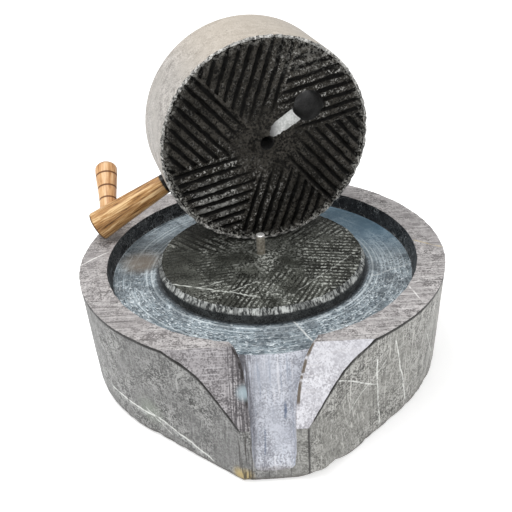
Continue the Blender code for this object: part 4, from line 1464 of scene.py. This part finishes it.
def build_floor():
    mesh = bpy.data.meshes.new("floor")
    half = FLOOR_HALF_WIDTH
    mesh.from_pydata(
        [(-half, -half, 0), (half, -half, 0), (half, half, 0), (-half, half, 0)], [], [(0, 1, 2, 3)])
    floor = bpy.data.objects.new("floor", mesh)
    bpy.context.scene.collection.objects.link(floor)
    paper = Finish("floor_paper")
    paper.shader.inputs["Emission Color"].default_value = (1.0, 1.0, 1.0, 1.0)
    paper.shader.inputs["Emission Strength"].default_value = FLOOR_GLOW
    paper.tone = (0.93, 0.93, 0.93, 1.0)
    mesh.materials.append(paper.done(0.8))


def build_light():
    world = bpy.data.worlds.new("studio")
    bpy.context.scene.world = world
    world.use_nodes = True
    background = world.node_tree.nodes["Background"]
    background.inputs["Color"].default_value = (1.0, 1.0, 1.0, 1.0)
    background.inputs["Strength"].default_value = SKY_STRENGTH
    for name, place, size, power in LAMPS:
        light = bpy.data.lights.new(name, "AREA")
        light.energy = power
        light.size = size
        lamp = bpy.data.objects.new(name, light)
        lamp.location = place
        lamp.rotation_euler = (Vector((0, 0, 0.1)) - Vector(place)).to_track_quat("-Z", "Y").to_euler()
        bpy.context.scene.collection.objects.link(lamp)


def build_camera():
    camera = bpy.data.cameras.new("camera")
    camera.lens = CAMERA_LENS
    camera.sensor_width = 36.0
    made = bpy.data.objects.new("camera", camera)
    bpy.context.scene.collection.objects.link(made)
    right = Vector((math.cos(CAMERA_TURN), math.sin(CAMERA_TURN), 0.0))
    forward = Vector((
        -math.sin(CAMERA_TURN) * math.cos(CAMERA_DOWN),
        math.cos(CAMERA_TURN) * math.cos(CAMERA_DOWN),
        -math.sin(CAMERA_DOWN),
    ))
    up = right.cross(forward)
    c, s = math.cos(CAMERA_ROLL), math.sin(CAMERA_ROLL)
    axes = (right * c + up * s, up * c - right * s, -forward)
    made.matrix_world = Matrix.Translation(CAMERA_AT) @ Matrix(axes).transposed().to_4x4()
    bpy.context.scene.camera = made


def main():
    bpy.context.scene.view_settings.view_transform = "Standard"
    build_camera()
    build_floor()
    build_light()
    pieces = {
        "basin_stone": (build_basin((
            bed_finish(), bed_edge_finish(), channel_finish(), wall_finish(), rim_finish(),
            shoulder_finish(), chute_finish(), side_finish())), "basin_stone"),
        "runner_stone": (build_runner((
            face_finish(), face_edge_finish(), runner_side_finish(), bore_finish(), slot_finish())),
            "runner_stone"),
        "spindle_pin": (build_pin(pin_finish()), "pin_steel"),
        "handle_arm": (build_arm(arm_finish(), end_grain_finish()), "arm_wood"),
        "handle_grip": (build_grip(grip_finish()), "grip_wood"),
    }
    for node, (piece, slot) in pieces.items():
        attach(piece, "root")
        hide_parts(node)
        print("PIECE", piece.name, sum(len(p.vertices) - 2 for p in piece.data.polygons))


main()
